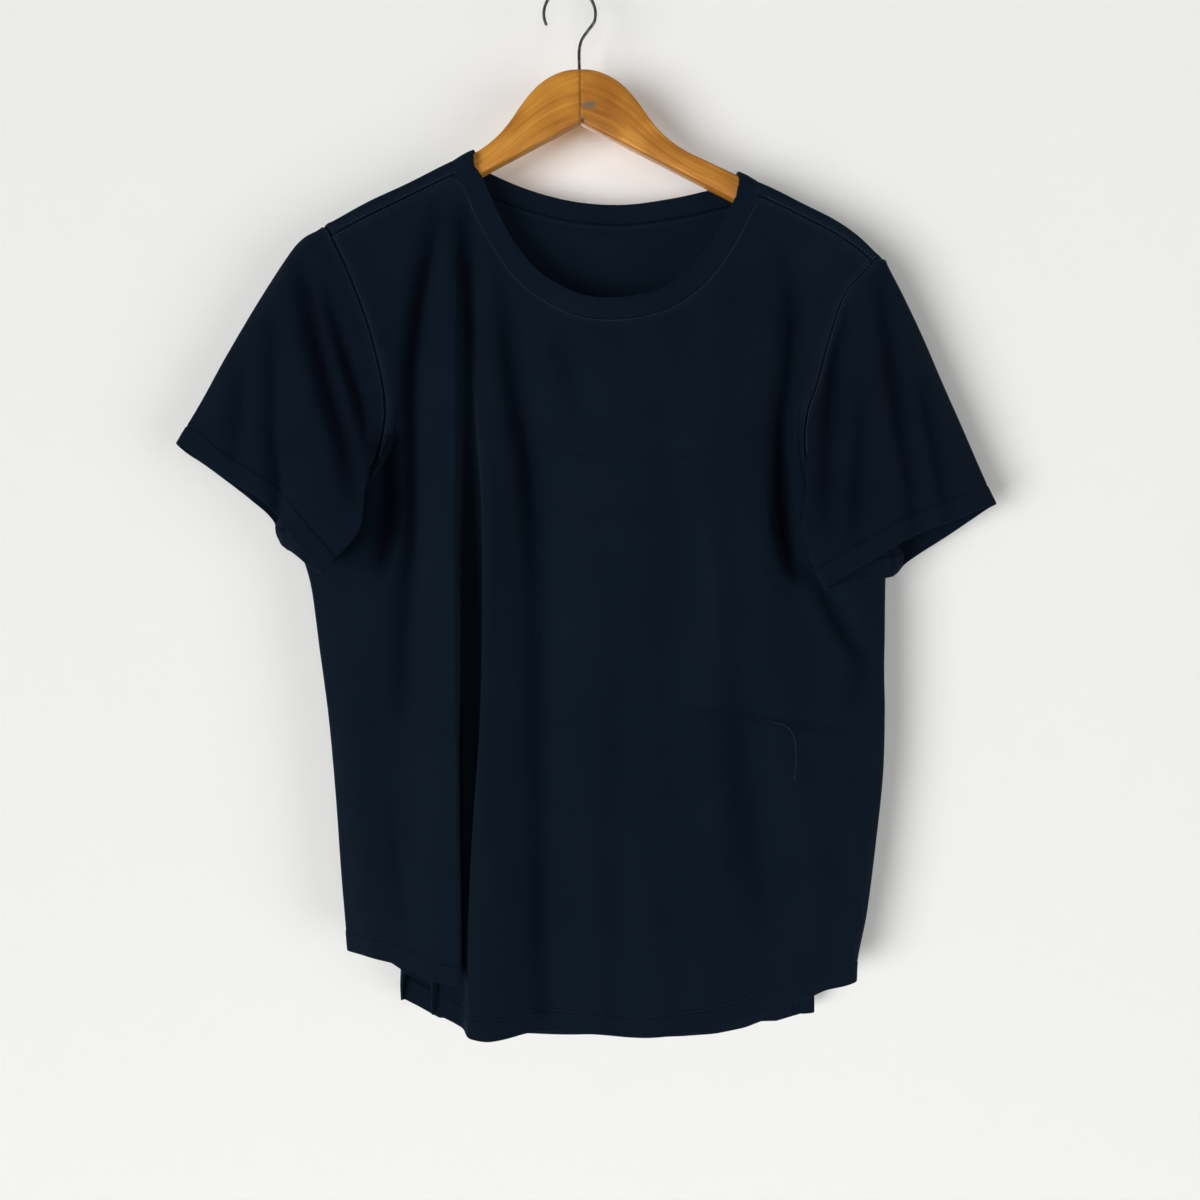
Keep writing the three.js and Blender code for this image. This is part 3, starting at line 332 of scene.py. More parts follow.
# The top edge of one half from the centre out, and its under edge (along, down).
WOOD_TOP_EDGE = [
    (0, 0), (10, -0.9), (20, -4.2), (30, -10.2), (38, -17.8), (46, -27.8), (54, -39.5), (62, -49),
    (71, -57), (82.5, -64.5), (97, -71.5), (122, -83.5), (163, -103), (190, -117), (203, -125),
]
WOOD_TIP = [(210, -131), (214, -138)]
WOOD_UNDER_EDGE = [(0, -40.4), (57, -70), (114, -99.7), (160, -123.3), (200, -144), (207, -147.5),
                   (213, -145), (214, -138)]


def arm(name, side, material):
    """One half of the hanger, side -1 or +1.

    Section s lies between top(s) and under(s), both walked at even distances. It is a rectangle
    with quarter-round corners of radius r: a corner's points are its centre + r (cos a, sin a).
    """
    shares = np.linspace(0, 1, WOOD_SECTIONS)
    top, under = (along([(out, 0, down) for out, down in edge], shares)
                  for edge in (WOOD_TOP_EDGE + WOOD_TIP, WOOD_UNDER_EDGE))
    worn = JOINT_EASE * np.exp(-np.arange(WOOD_SECTIONS) / JOINT_WORN_SECTIONS)[:, None]
    middle = (top + under) / 2
    half = np.linalg.norm(top - under, axis=1)[:, None] / 2 - worn
    rise = unit(top - under)
    middle[0, 0] = JOINT_GAP
    deep = WOOD_HALF_DEPTH - worn
    corner = np.minimum(WOOD_ROUND, ROUND_SHARE * half)
    quarters = np.array([0, 90, 180, 270])
    angle = np.radians(np.concatenate([np.linspace(0, 90, CORNER_POINTS) + turn for turn in quarters]))
    centre = np.radians(np.repeat(quarters + 45, CORNER_POINTS))
    up = np.sign(np.cos(centre)) * (half - corner) + corner * np.cos(angle)
    out = np.sign(np.sin(centre)) * (deep - corner) + corner * np.sin(angle)
    points = middle[:, None] + up[..., None] * rise[:, None] + out[..., None] * np.array([0, -1.0, 0])
    run = lengths_along(middle)
    uv = np.stack([np.broadcast_to(run[:, None], up.shape), up + 2 * out + GRAIN_SHIFT * side], axis=-1) * MM
    turn = np.array([[math.cos(WOOD_TILT), 0, math.sin(WOOD_TILT)], [0, 1, 0],
                     [-math.sin(WOOD_TILT), 0, math.cos(WOOD_TILT)]])
    points = points.reshape(-1, 3) * (side, 1, 1) @ turn + (WOOD_TOP[0], 0, WOOD_TOP[1])
    quads, caps = ring_faces(WOOD_SECTIONS, len(angle))
    if side < 0:
        quads, caps = quads[:, ::-1], [cap[::-1] for cap in caps]
    return make_mesh(name, points, quads, material, uv=uv.reshape(-1, 2), caps=caps)


def calculated(material, operation, first, second=0.0, third=0.0):
    """A number worked out in a material from up to three others."""
    return add_node(material, "ShaderNodeMath", {0: first, 1: second, 2: third},
                    operation=operation).outputs[0]


def varnished(name, tones, marks):
    """Varnished wood: grain runs along the arm, so the noise is drawn out along u.

    A mark is (place, reach, colour). It lies where the distance from its place, as a share of its
    reach, plus a fine noise is small.
    """
    material, shader = new_material(name, tones[1], 0.5)
    shader.inputs["Specular IOR Level"].default_value = 0.25
    shader.inputs["Coat Weight"].default_value = 0.12
    shader.inputs["Coat Roughness"].default_value = 0.3
    texture = add_node(material, "ShaderNodeTexCoord")
    stretch = add_node(material, "ShaderNodeMapping", {
        "Vector": texture.outputs["UV"], "Scale": (14, 260, 1)})
    grain = add_node(material, "ShaderNodeTexNoise", {
        "Vector": stretch.outputs[0], "Scale": 1.0, "Detail": 5, "Roughness": 0.62, "Distortion": 0.5})
    fine_stretch = add_node(material, "ShaderNodeMapping", {
        "Vector": texture.outputs["UV"], "Scale": (90, 2600, 1)})
    pores = add_node(material, "ShaderNodeTexNoise", {
        "Vector": fine_stretch.outputs[0], "Scale": 1.0, "Detail": 2})
    blotch = add_node(material, "ShaderNodeTexNoise", {
        "Vector": texture.outputs["Object"], "Scale": 22, "Detail": 2})
    mixed = calculated(material, "ADD", grain.outputs["Fac"], blotch.outputs["Fac"])
    color = add_ramp(material, calculated(material, "MULTIPLY", mixed, 0.5), [
        (0.34, tones[0]), (0.50, tones[1]), (0.64, tones[2])])
    pored = add_node(material, "ShaderNodeMix", {
        "Factor": 0.12, "A": color.outputs["Color"], "B": pores.outputs["Color"]},
        data_type="RGBA", blend_type="MULTIPLY")
    tint = pored.outputs["Result"]
    for spot, reach, dark in marks:
        ragged = add_node(material, "ShaderNodeTexNoise", {
            "Vector": texture.outputs["Object"], "Scale": 900, "Detail": 3})
        away = add_node(material, "ShaderNodeVectorMath", {
            0: texture.outputs["Object"], 1: tuple(MM * value for value in spot)}, operation="SUBTRACT")
        scaled = add_node(material, "ShaderNodeVectorMath", {
            0: away.outputs[0], 1: tuple(1 / (MM * value) for value in reach)}, operation="MULTIPLY")
        length = add_node(material, "ShaderNodeVectorMath", {0: scaled.outputs[0]}, operation="LENGTH")
        inside = add_node(material, "ShaderNodeMapRange", {
            "Value": calculated(material, "ADD", length.outputs["Value"], ragged.outputs["Fac"]),
            "From Min": 1.55, "From Max": 0.9})
        marked = add_node(material, "ShaderNodeMix", {
            "Factor": inside.outputs[0], "A": tint, "B": (*dark, 1)}, data_type="RGBA")
        tint = marked.outputs["Result"]
    feed(material, tint, shader.inputs["Base Color"])
    bump = add_node(material, "ShaderNodeBump", {
        "Height": grain.outputs["Fac"], "Strength": 0.12, "Distance": 0.0004})
    feed(material, bump.outputs["Normal"], shader.inputs["Normal"])
    return material


# Dark, middle and light wood of each half, and what has marked the right one: a grey scuff beside
# the joint, and the dark mouth of the joint at its foot.
TONES_LEFT = [(0.30, 0.105, 0.010), (0.45, 0.183, 0.021), (0.60, 0.275, 0.045)]
TONES_RIGHT = [(0.24, 0.083, 0.009), (0.39, 0.150, 0.018), (0.62, 0.290, 0.050)]
MARKS_RIGHT = [
    ((14, -6, -92), (7.5, 9, 4), (0.15, 0.105, 0.06)),
    ((8.4, -6, -103.5), (1.6, 9, 2.4), (0.05, 0.03, 0.02)),
]
for side, which, tones, marks in ((-1, "left", TONES_LEFT, []), (1, "right", TONES_RIGHT, MARKS_RIGHT)):
    half = arm(f"hanger_half_{which}", side, varnished(f"varnished_wood_{which}", tones, marks))
    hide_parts(f"hanger_arm_{which}")


# ---- How the cloth lies --------------------------------------------------------------------------
# Every piece of cloth is a grid of points on its middle surface: rows run down the cloth, columns
# across or round it. It rests on the hanger's top edge and hangs from there in folds.

CLOTH_WALL = 0.9
HEM_WALL = 1.7                   # where the cloth is turned up and doubled
HEM_DEPTH = 15                   # from the hem's edge to its stitches
CLOTH_LIFT = 2.1                 # ridge of the cloth above the top of the wood
RIDGE_HALF_DEPTH = 8.4           # from the ridge to the cloth in front of the wood
SHOULDER_DROP = 12               # forward shoulder seam below the ridge
RIDGE_SQUARENESS = 0.6           # how square the cloth turns over the wood, 1 is an ellipse
RIDGE_SIDE_SHARE = 0.95          # past this share of the half depth the cloth hangs plumb
RIDGE_PAST_WOOD = [(214, -131), (223, -139.5), (232, -149)]
SEAM_GAP = 0.3                   # clear space between sewn pieces
COLUMN_GAP = 2.8                 # about how far apart the columns of a panel lie

# Levels at which the folds of the body are given, between the top edge and the hem.
CHEST, UNDERARM, WAIST, HIP = -290, -410, -560, -680
# Shares of the way from the top edge to the armpits' level, and from there to just above the hem.
UPPER_SHARES = np.concatenate([(0, 0.004, 0.009, 0.016, 0.025, 0.037, 0.052), np.linspace(0.07, 1, 66)])
LOWER_SHARES = np.linspace(0, 1, 96)[1:]
# The last rows lie at these distances above the hem, and the row before them a little higher.
HEM_STEPS = np.array([21, 18.2, 16.6, 15.6, 15, 14.4, 13.4, 11.8, 9, 6, 3, 1.4, 0.6, 0])
HEM_ROW_GAP = 3
# Columns between the edge of a panel and the line where it turns, as shares.
EDGE_SHARES = np.array([0, 0.1, 0.25, 0.45, 0.65, 0.85])

PLEAT_STEPS = 6                  # lines round each of a pleat's two turns, besides the first
PLEAT_ROUND = (2.5,) * 6         # radius of a pleat's turns at each level

# Side seams, from the armpit down (z, x).
SIDE_LEFT = np.array([
    (-399, -222), (-427, -217.6), (-461, -209), (-506, -203.7), (-560, -197.8), (-620, -193.7),
    (-680, -190.8), (-739, -187)])
SIDE_RIGHT = np.array([
    (-432, 236), (-459, 235.5), (-486, 234.7), (-532, 232.7), (-563, 232.6), (-610, 230.4),
    (-656, 225), (-718, 215.9), (-756, 207.6), (-771.3, 206.2)])
# Where each armhole meets the forward shoulder seam, the ridge and the back of the shoulder (x).
ARMHOLE_TOP_LEFT = {"front": -186.5, "ridge": -193, "back": -188}
ARMHOLE_TOP_RIGHT = {"front": 229, "ridge": 238, "back": 230}
ARMHOLE_TURN = (7, 0.6)          # where the cloth turns beside the armhole (in, out)
SIDE_TURN = (3.5, 6.5)           # and beside the side seam
TURN_START = 25                  # one turns into the other from this far above the armpit
TURN_LENGTH = 110                # over this height

RIDGE_EDGE = np.array([(out, down + CLOTH_LIFT) for out, down in WOOD_TOP_EDGE] + RIDGE_PAST_WOOD)


def ridge(x):
    """Height of the cloth's ridge at x: the wood's top edge, raised by the lift and tilted."""
    out = np.asarray(x, float) - WOOD_TOP[0]
    turned = out + through(*RIDGE_EDGE.T, np.abs(out)) * math.sin(WOOD_TILT)
    return WOOD_TOP[1] + through(*RIDGE_EDGE.T, np.abs(turned)) + out * math.sin(WOOD_TILT)


def over_ridge(x, degrees):
    """The cloth where it turns over the wood at x, from -90 degrees in front to 90 behind.

    With s the squareness, it stands out by half depth * |sin|^s and has dropped by
    drop * (1 - |cos|^s).
    """
    x, angle = np.broadcast_arrays(np.asarray(x, float), np.radians(degrees))
    out = np.sign(angle) * np.abs(np.sin(angle)) ** RIDGE_SQUARENESS
    up = np.abs(np.cos(angle)) ** RIDGE_SQUARENESS
    return np.stack([x, RIDGE_HALF_DEPTH * out, ridge(x) - SHOULDER_DROP * (1 - up)], axis=-1)


def shoulder_normal(points):
    """Outward normal at a seam: square to the ridge on top of it, plumb in front and behind."""
    out = points[..., 1] / RIDGE_HALF_DEPTH
    turned = np.arcsin(np.sign(out) * np.clip(np.abs(out), 0, 1) ** (1 / RIDGE_SQUARENESS))
    turned = np.where(np.abs(out) > RIDGE_SIDE_SHARE, np.sign(out) * np.pi / 2, turned)
    slope = (ridge(points[..., 0] + 1) - ridge(points[..., 0] - 1)) / 2
    return unit(np.stack([-slope * np.cos(turned), np.sin(turned), np.cos(turned)], axis=-1))


def armhole_normal(points, armpit, outward):
    """Outward normal along an armhole: as at the shoulder, and sideways at the armpit."""
    plumb = np.stack([0 * points[..., 0], np.sign(points[..., 1]), 0 * points[..., 0]], axis=-1)
    on_ridge = points[..., 2] > ridge(points[..., 0]) - SHOULDER_DROP - 1
    normal = np.where(on_ridge[..., None], shoulder_normal(points), plumb)
    near = np.clip(1 - np.linalg.norm(points - armpit, axis=-1) / 50, 0, 1)[..., None]
    return unit(normal * (1 - near) + near * np.array([outward, 0, 0]))


def ease(t):
    """0 below 0 and 1 above 1, with a smooth step 3 t^2 - 2 t^3 between."""
    t = np.clip(t, 0, 1)
    return 3 * t**2 - 2 * t**3


def hanging_line(xs, ys, hem, top):
    """A line of a panel, down which x and y follow the cubic through their values at each level.

    Every line is (level of the armpits, hem, upper, lower): upper gives its points at shares of
    the way down to the armpits, and lower gives them at any heights.
    """
    keys = (top, CHEST, UNDERARM, WAIST, HIP, hem)
    armpit = np.interp(xs[2], [SIDE_LEFT[0, 1], SIDE_RIGHT[0, 1]], [SIDE_LEFT[0, 0], SIDE_RIGHT[0, 0]])

    def lower(z):
        """Points at heights z."""
        return np.stack([through(keys, xs, z), through(keys, ys, z), z], axis=-1)

    return armpit, hem, lambda shares: lower(top + (armpit - top) * shares), lower


def hanging_lines(table, top_of):
    """The lines of a table, each begun where top_of says that the panel's top edge lies."""
    return [hanging_line(xs, ys, hem, top_of(xs[0])) for xs, ys, hem in table]


def pleat_lines(xs, ys, turns, backs, hems, top_of, radii=PLEAT_ROUND):
    """The lines round a pleat, whose fold lies at xs and ys.

    The cloth turns by an angle a round the fold, runs back by b and turns forward again by a. On
    the first turn a line lies at r sin, r (1 - cos); the second turn is its mirror image. Early in
    the second turn, where the cloth lies hidden, the hem goes from its first height to its second.
    """
    first = np.concatenate([np.linspace(0, 1, PLEAT_STEPS + 1), np.ones(PLEAT_STEPS + 1)])
    second = np.concatenate([np.zeros(PLEAT_STEPS + 1), np.linspace(0, 1, PLEAT_STEPS + 1)])
    top_z = top_of(xs[0])
    lines = []
    for number, (one, two) in enumerate(zip(first, second)):
        share = number / (len(first) - 1)
        hem = hems[0] + ease((share - 0.53) / 0.2) * (hems[1] - hems[0])
        top = top_of(xs[0] + share * backs[0])
        armpit, _, _, spine = hanging_line(xs, ys, hem, top_z)

        def lower(z, one=one, two=two, back=number > PLEAT_STEPS, hem=hem, spine=spine):
            """Points at heights z."""
            keys = (top_z, CHEST, UNDERARM, WAIST, HIP, hem)
            turn = np.radians(through(keys, turns, z))
            full, run = np.abs(turn), back * through(keys, backs, z)
            radius = through(keys, radii, z)
            x = radius * np.sin(full * one) + run * np.cos(full) \
                + back * radius * (np.sin(full) - np.sin(full * (1 - two)))
            y = radius * (1 - np.cos(full * one)) + run * np.sin(full) \
                + back * radius * (np.cos(full * (1 - two)) - np.cos(full))
            return spine(z) + np.stack([x, np.sign(turn) * y, 0 * z], axis=-1)

        def upper(shares, top=top, armpit=armpit, lower=lower):
            """Points at shares of the way down to the armpits."""
            return lower(top + (armpit - top) * shares)

        lines.append((armpit, hem, upper, lower))
    return lines


def edge_line(start, armhole, side, facing, inward=0):
    """The edge of a panel down its armhole and side seam, or the line inside it where it turns.

    The seams are smooth curves through their points, and each panel keeps half the seam gap from
    the side seam. inward is 0 on the edge, and 1 or -1 on the line to the right or left of it.
    """
    def inside(points):
        """The points, moved in and out by the turn at their height."""
        down = ease((side[0, 0] + TURN_START - points[:, 2]) / TURN_LENGTH)[:, None]
        turn = (1 - down) * ARMHOLE_TURN + down * SIDE_TURN
        return points + abs(inward) * turn @ [[inward, 0, 0], [0, facing, 0]]

    def upper(shares):
        """Points down the armhole."""
        points = along([start, *armhole], shares)
        points[:, 1] += facing * SEAM_GAP / 2 * shares**8
        return inside(points)

    def lower(z):
        """Points down the side seam."""
        return inside(np.stack([through(*side.T, z), 0 * z + facing * SEAM_GAP / 2, z], axis=-1))

    return side[0, 0], side[-1, 0], upper, lower


def hang(lines, shares):
    """Every line at every row.

    The rows at the hem keep their distance from it where it slants: they are spread in height by
    1 / sqrt(1 - steepness^2).
    """
    ends = np.stack([lower(np.array([hem], float))[0] for _, hem, _, lower in lines])
    steep = unit(np.gradient(ends, axis=0))[:, 2]
    stretch = 1 / np.sqrt(np.clip(1 - steep**2, 0.4, 1))
    hung = []
    for (armpit, hem, upper, lower), by in zip(lines, stretch):
        above = armpit + (hem + (HEM_STEPS[0] + HEM_ROW_GAP) * by - armpit) * LOWER_SHARES
        hung.append(np.concatenate([upper(shares), lower(np.append(above, hem + by * HEM_STEPS))]))
    return np.stack(hung, axis=1)


def across(lines):
    """Columns between the lines of a grid, on the curve through the lines along each row.

    The curve is the Hermite cubic whose slope at a line is the slope from the line before it to
    the line after it, as a share of the two gaps.
    """
    def gap(a, b):
        """Distance between the points of two lines."""
        return np.linalg.norm(b - a, axis=-1, keepdims=True)

    last = lines.shape[1] - 1
    here, after = lines[:, :-1], lines[:, 1:]
    before = lines[:, np.maximum(np.arange(last) - 1, 0)]
    beyond = lines[:, np.minimum(np.arange(last) + 2, last)]
    span = gap(here, after)
    leaving = (after - before) * span / np.maximum(gap(before, here) + span, 1e-6)
    reaching = (beyond - here) * span / np.maximum(gap(after, beyond) + span, 1e-6)
    columns = []
    for k in range(last):
        steps = max(1, round(float(span[:, k].mean()) / COLUMN_GAP))
        shares = np.arange(steps) / steps
        if k == 0:
            shares = EDGE_SHARES
        if k == last - 1:
            shares = np.append(0, 1 - EDGE_SHARES[:0:-1])
        t = shares[None, :, None]
        a, b, u, v = (item[:, k, None] for item in (here, after, leaving, reaching))
        columns.append((2 * t**3 - 3 * t**2 + 1) * a + (t**3 - 2 * t**2 + t) * u
                       + (3 * t**2 - 2 * t**3) * b + (t**3 - t**2) * v)
    return np.concatenate([*columns, lines[:, -1:]], axis=1)


def settle(grid, target, shares):
    """Moves a grid's first row onto target, and the rows in its first ninth less and less."""
    fade = np.clip(1 - 9 * shares, 0, 1)[:, None, None]
    grid[:len(shares)] += fade * (target - grid[0])


def normals_of(grid, wrap=False):
    """Outward normals of a grid: down its columns crossed with along its rows."""
    if wrap:
        sideways = np.roll(grid, -1, 1) - np.roll(grid, 1, 1)
    else:
        sideways = np.gradient(grid, axis=1)
    return unit(np.cross(np.gradient(grid, axis=0), sideways))


def creased(points, directions, creases):
    """The points moved by soft creases, each in its own direction.

    A crease is its width and rows of (x, z, depth). At distance d from its line, measured in x and
    z, the cloth moves by depth * exp(-(d / width)^2), out where depth is above 0.
    """
    flat = points[..., [0, 2]]
    move = np.zeros(flat.shape[:2])
    for width, rows in creases:
        path = along(rows, np.linspace(0, 1, 4 * len(rows)))
        start, step = path[:-1], np.diff(path, axis=0)
        share = ((flat[..., None, :] - start[:, :2]) * step[:, :2]).sum(-1) / (step[:, :2]**2).sum(-1)
        share = np.clip(share, 0, 1)
        near = start[:, :2] + share[..., None] * step[:, :2]
        away = ((flat[..., None, :] - near)**2).sum(-1)
        nearest = away.argmin(-1)[..., None]
        depth = np.take_along_axis(start[:, 2] + share * step[:, 2], nearest, -1)[..., 0]
        move += depth * np.exp(-np.take_along_axis(away, nearest, -1)[..., 0] / width**2)
    return points + move[..., None] * directions


def rippled(points, normals, size, seed):
    """The points moved along their normals by small uneven waves, a sum of five sines in x and z."""
    waves = np.random.RandomState(seed).uniform(-1, 1, (5, 4))
    move = sum(np.sin(points[..., 0] * (0.13 + 0.07 * a) + points[..., 2] * 0.035 * b + 6 * c)
               * (0.5 + 0.5 * np.sin(points[..., 2] * 0.012 * (1.5 + a) + 9 * d))
               for a, b, c, d in waves)
    return points + (size * 0.4 * move)[..., None] * normals


def edge_numbers(numbers, wrap):
    """The vertex numbers round each edge of a grid, back to the first, with the cloth on the left."""
    if wrap:
        return [numbers[0], numbers[-1][::-1]]
    return [np.concatenate([numbers[0, :-1], numbers[:-1, -1], numbers[-1, :0:-1], numbers[:0:-1, 0],
                            numbers[0, :1]])]


def strip(here, there):
    """Quads between two lines of vertex numbers."""
    corners = here[..., :-1], here[..., 1:], there[..., 1:], there[..., :-1]
    return np.stack(corners, axis=-1).reshape(-1, 4)


def shell(name, middle, normals, wall, material, painted_shade, wrap=False):
    """A wall of cloth on the grid of its middle surface, closed and rounded round its edges.

    Its two faces lie at middle +- wall / 2 * normal. Round each edge run three more lines, at
    middle + wall / 2 * (cos a * normal + sin a * out) for a of 45, 90 and 135 degrees, where out
    points away from the cloth.
    """
    rows, columns = middle.shape[:2]
    half = np.broadcast_to(np.asarray(wall, float), (rows, columns))[..., None] / 2
    points = [(middle + half * normals).reshape(-1, 3), (middle - half * normals).reshape(-1, 3)]
    # Each point carries its crease depth, for the painted shade of the cloth's colour.
    painted_shade = np.broadcast_to(painted_shade, (rows, columns)).ravel()
    painted_shades = [painted_shade, painted_shade]
    count = rows * columns
    numbers = np.arange(count).reshape(rows, columns)
    places = np.arange(rows * (columns + wrap)).reshape(rows, columns + wrap)
    ring_grid = middle
    if wrap:
        numbers = np.concatenate([numbers, numbers[:, :1]], axis=1)
        ring_grid = np.concatenate([middle, middle[:, :1]], axis=1)
    uv = np.stack([lengths_along(ring_grid), lengths_along(ring_grid.swapaxes(0, 1)).T], axis=-1) * MM
    faces, uv_faces = [], []
    for out, base in ((True, 0), (False, count)):
        for grid, into, shift in ((numbers, faces, base), (places, uv_faces, 0)):
            made = strip(grid[:-1], grid[1:]) + shift
            into.append(made[:, ::-1] if out else made)
    total = 2 * count
    flat_middle, flat_normals = middle.reshape(-1, 3), normals.reshape(-1, 3)
    flat_half = half.reshape(-1, 1)
    for ring, place in zip(edge_numbers(numbers, wrap), edge_numbers(places, wrap)):
        inside = ring[:-1]
        run = np.roll(flat_middle[inside], -1, 0) - np.roll(flat_middle[inside], 1, 0)
        out = unit(np.cross(flat_normals[inside], run))
        previous = ring
        for degrees in (45, 90, 135, 180):
            angle = math.radians(degrees)
            if degrees == 180:
                line = ring + count
            else:
                points.append(flat_middle[inside] + flat_half[inside] * (
                    math.cos(angle) * flat_normals[inside] + math.sin(angle) * out))
                painted_shades.append(painted_shade[inside])
                line = np.append(total + np.arange(len(inside)), total)
                total += len(inside)
            faces.append(strip(previous, line))
            uv_faces.append(strip(place, place))
            previous = line
    return make_mesh(name, np.concatenate(points), np.concatenate(faces), material,
                     uv=uv.reshape(-1, 2), uv_quads=np.concatenate(uv_faces), painted_shade=np.concatenate(painted_shades))


def at_distance(grid, distances, values=None):
    """Points of a grid, or the values there, at distances down each of its columns."""
    values = grid if values is None else values
    length = lengths_along(grid.swapaxes(0, 1)).T
    distances = np.broadcast_to(distances, (len(distances), grid.shape[1]))
    row = np.clip((length[None] <= distances[:, None]).sum(1) - 1, 0, len(grid) - 2)
    column = np.arange(grid.shape[1])
    step = np.maximum(length[row + 1, column] - length[row, column], 1e-6)
    share = np.clip((distances - length[row, column]) / step, 0, 1)[..., None]
    return values[row, column] * (1 - share) + values[row + 1, column] * share


STITCH_PITCH = 2.9
STITCH_SHARE = 0.72              # of the pitch that lies on the outside of the cloth
STITCH_RINGS = np.array([0.35, 0.85, 1, 0.85, 0.35])      # thickness along one stitch, as shares


def stitches(name, line, normals, material, radius=0.3, slot="navy_knit"):
    """A row of stitches along a line of points on the cloth.

    Each stitch is a short bow of thread. Its rings, at shares s of its length, lie at
    line + radius * (1.5 sin(pi s) - 0.5) * normal and narrow towards its ends.
    """
    length = lengths_along(line)
    shares = np.linspace(0, 1, len(STITCH_RINGS))
    first = np.arange(int(length[-1] / STITCH_PITCH) - 1)[:, None] + 0.2
    places = (first + STITCH_SHARE * shares) * STITCH_PITCH
    at = np.stack([np.interp(places, length, axis) for axis in line.T], axis=-1)
    up = unit(np.stack([np.interp(places, length, axis) for axis in normals.T], axis=-1))
    side = unit(np.cross(np.gradient(at, axis=1), up))
    at = at + radius * (1.5 * np.sin(np.pi * shares) - 0.5)[:, None] * up
    angle = np.radians(np.arange(0, 360, 60))[:, None]
    thick = radius * STITCH_RINGS[:, None, None]
    rings = at[:, :, None] + thick * (np.cos(angle) * side[:, :, None] + np.sin(angle) * up[:, :, None])
    numbers = np.arange(rings[..., 0].size).reshape(rings.shape[:3])
    closed = np.concatenate([numbers, numbers[..., :1]], axis=-1)
    piece = make_mesh(name, rings.reshape(-1, 3), strip(closed[:, :-1], closed[:, 1:]), material,
                      caps=(numbers[:, 0], numbers[:, -1, ::-1]))
    return piece


WALE, COURSE = 0.00078, 0.00062   # width and height of one loop of the jersey, metres
CREASE_SHADE = 0.055                 # painted shade: per millimetre of depth the colour darkens in creases and lightens on ridges as painted highlight
SEAM_SHADE = 8                 # painted shade beside a seam and in the hem's groove, as in a crease this many times as deep, with painted highlight on the puff beside a seam
# Each cloth has a darker colour that deep creases reach as painted shade, its dye, and a faded tone.
NAVY = (0.0006, 0.0016, 0.0046), (0.0022, 0.0060, 0.0120), (0.0048, 0.0100, 0.0178)
NAVY_SLEEVE = (0.0006, 0.0014, 0.0044), (0.0020, 0.0051, 0.0112), (0.0044, 0.0090, 0.0168)


def knit(name, deep, color, faded):
    """Fine cotton jersey: rows of small V loops in u and v, a slight fuzz and a soft sheen.

    Its colour runs from deep through the dye colour to faded. The depth of the crease paints it darker
    in creases and beside seams as painted shade, and lighter on ridges as painted highlight; the loops
    and a broad, soft wear vary it too.
    """
    material, shader = new_material(name, color, 0.95)
    shader.inputs["Specular IOR Level"].default_value = 0.04
    shader.inputs["Sheen Weight"].default_value = 0.035
    shader.inputs["Sheen Roughness"].default_value = 0.45
    shader.inputs["Sheen Tint"].default_value = (0.45, 0.62, 0.85, 1)
    texture = add_node(material, "ShaderNodeTexCoord")
    apart = add_node(material, "ShaderNodeSeparateXYZ", {0: texture.outputs["UV"]})
    across_loop = calculated(material, "PINGPONG", calculated(
        material, "MULTIPLY", apart.outputs["X"], 1 / WALE), 0.5)
    climb = calculated(material, "MULTIPLY_ADD", across_loop, 1.3, calculated(
        material, "MULTIPLY", apart.outputs["Y"], 1 / COURSE))
    loop = calculated(material, "PINGPONG", climb, 0.5)
    wale = calculated(material, "SINE", calculated(material, "MULTIPLY", across_loop, math.pi))
    fuzz = add_node(material, "ShaderNodeTexNoise", {
        "Vector": texture.outputs["Object"], "Scale": 2600, "Detail": 2}).outputs["Fac"]
    height = calculated(material, "MULTIPLY_ADD", wale, 0.7, calculated(
        material, "ADD", loop, calculated(material, "MULTIPLY", fuzz, 0.6)))
    bump = add_node(material, "ShaderNodeBump", {"Height": height, "Strength": 0.55, "Distance": 0.00022})
    feed(material, bump.outputs["Normal"], shader.inputs["Normal"])
    wear = add_node(material, "ShaderNodeTexNoise", {
        "Vector": texture.outputs["Object"], "Scale": 17, "Detail": 3, "Roughness": 0.55}).outputs["Fac"]
    shade = calculated(material, "MULTIPLY_ADD", height, 0.22, calculated(
        material, "MULTIPLY_ADD", wear, 0.25, 0.2))
    # Painted shade: the crease depth stored at each point moves the colour darker in creases and lighter on
    # ridges.
    painted_shade = add_node(material, "ShaderNodeAttribute", attribute_name="painted_shade").outputs["Fac"]
    wear_and_painted_shade = calculated(material, "MULTIPLY_ADD", painted_shade, CREASE_SHADE, shade)
    tone = add_ramp(material, wear_and_painted_shade, [(0.08, deep), (0.42, color), (0.78, faded)])
    feed(material, tone.outputs["Color"], shader.inputs["Base Color"])
    return material


def spun_thread(name, color, roughness):
    """Dull sewing thread."""
    material, shader = new_material(name, color, roughness)
    shader.inputs["Sheen Weight"].default_value = 0.05
    shader.inputs["Specular IOR Level"].default_value = 0.1
    return material


navy_knit = knit("navy_knit", *NAVY)
sleeve_knit = knit("sleeve_knit", *NAVY_SLEEVE)
thread = spun_thread("navy_thread", (0.0150, 0.0250, 0.0400), 0.7)
# Thread darker than the cloth: its dark line along the cuffs is painted shade for the shadow in their seams.
shade_line_thread = spun_thread("shade_line_navy_thread", (0.0012, 0.0028, 0.0070), 0.8)


# ---- Back panel ----------------------------------------------------------------------------------
# Cut in one, longer than the front, with a curved hem. It runs over the ridge of the shoulders to
# the forward seams, and hangs behind with a soft pleat on each side.

RIDGE_ROWS = 28                  # rows over the ridge, or just below the neck seam
RIDGE_ARC = 17                   # length of cloth from the ridge to the back of the shoulder
NECK_ROWS_DEPTH = 8              # how far those rows reach below the neck seam
BACK_SHARES = np.linspace(0, 1, 72)

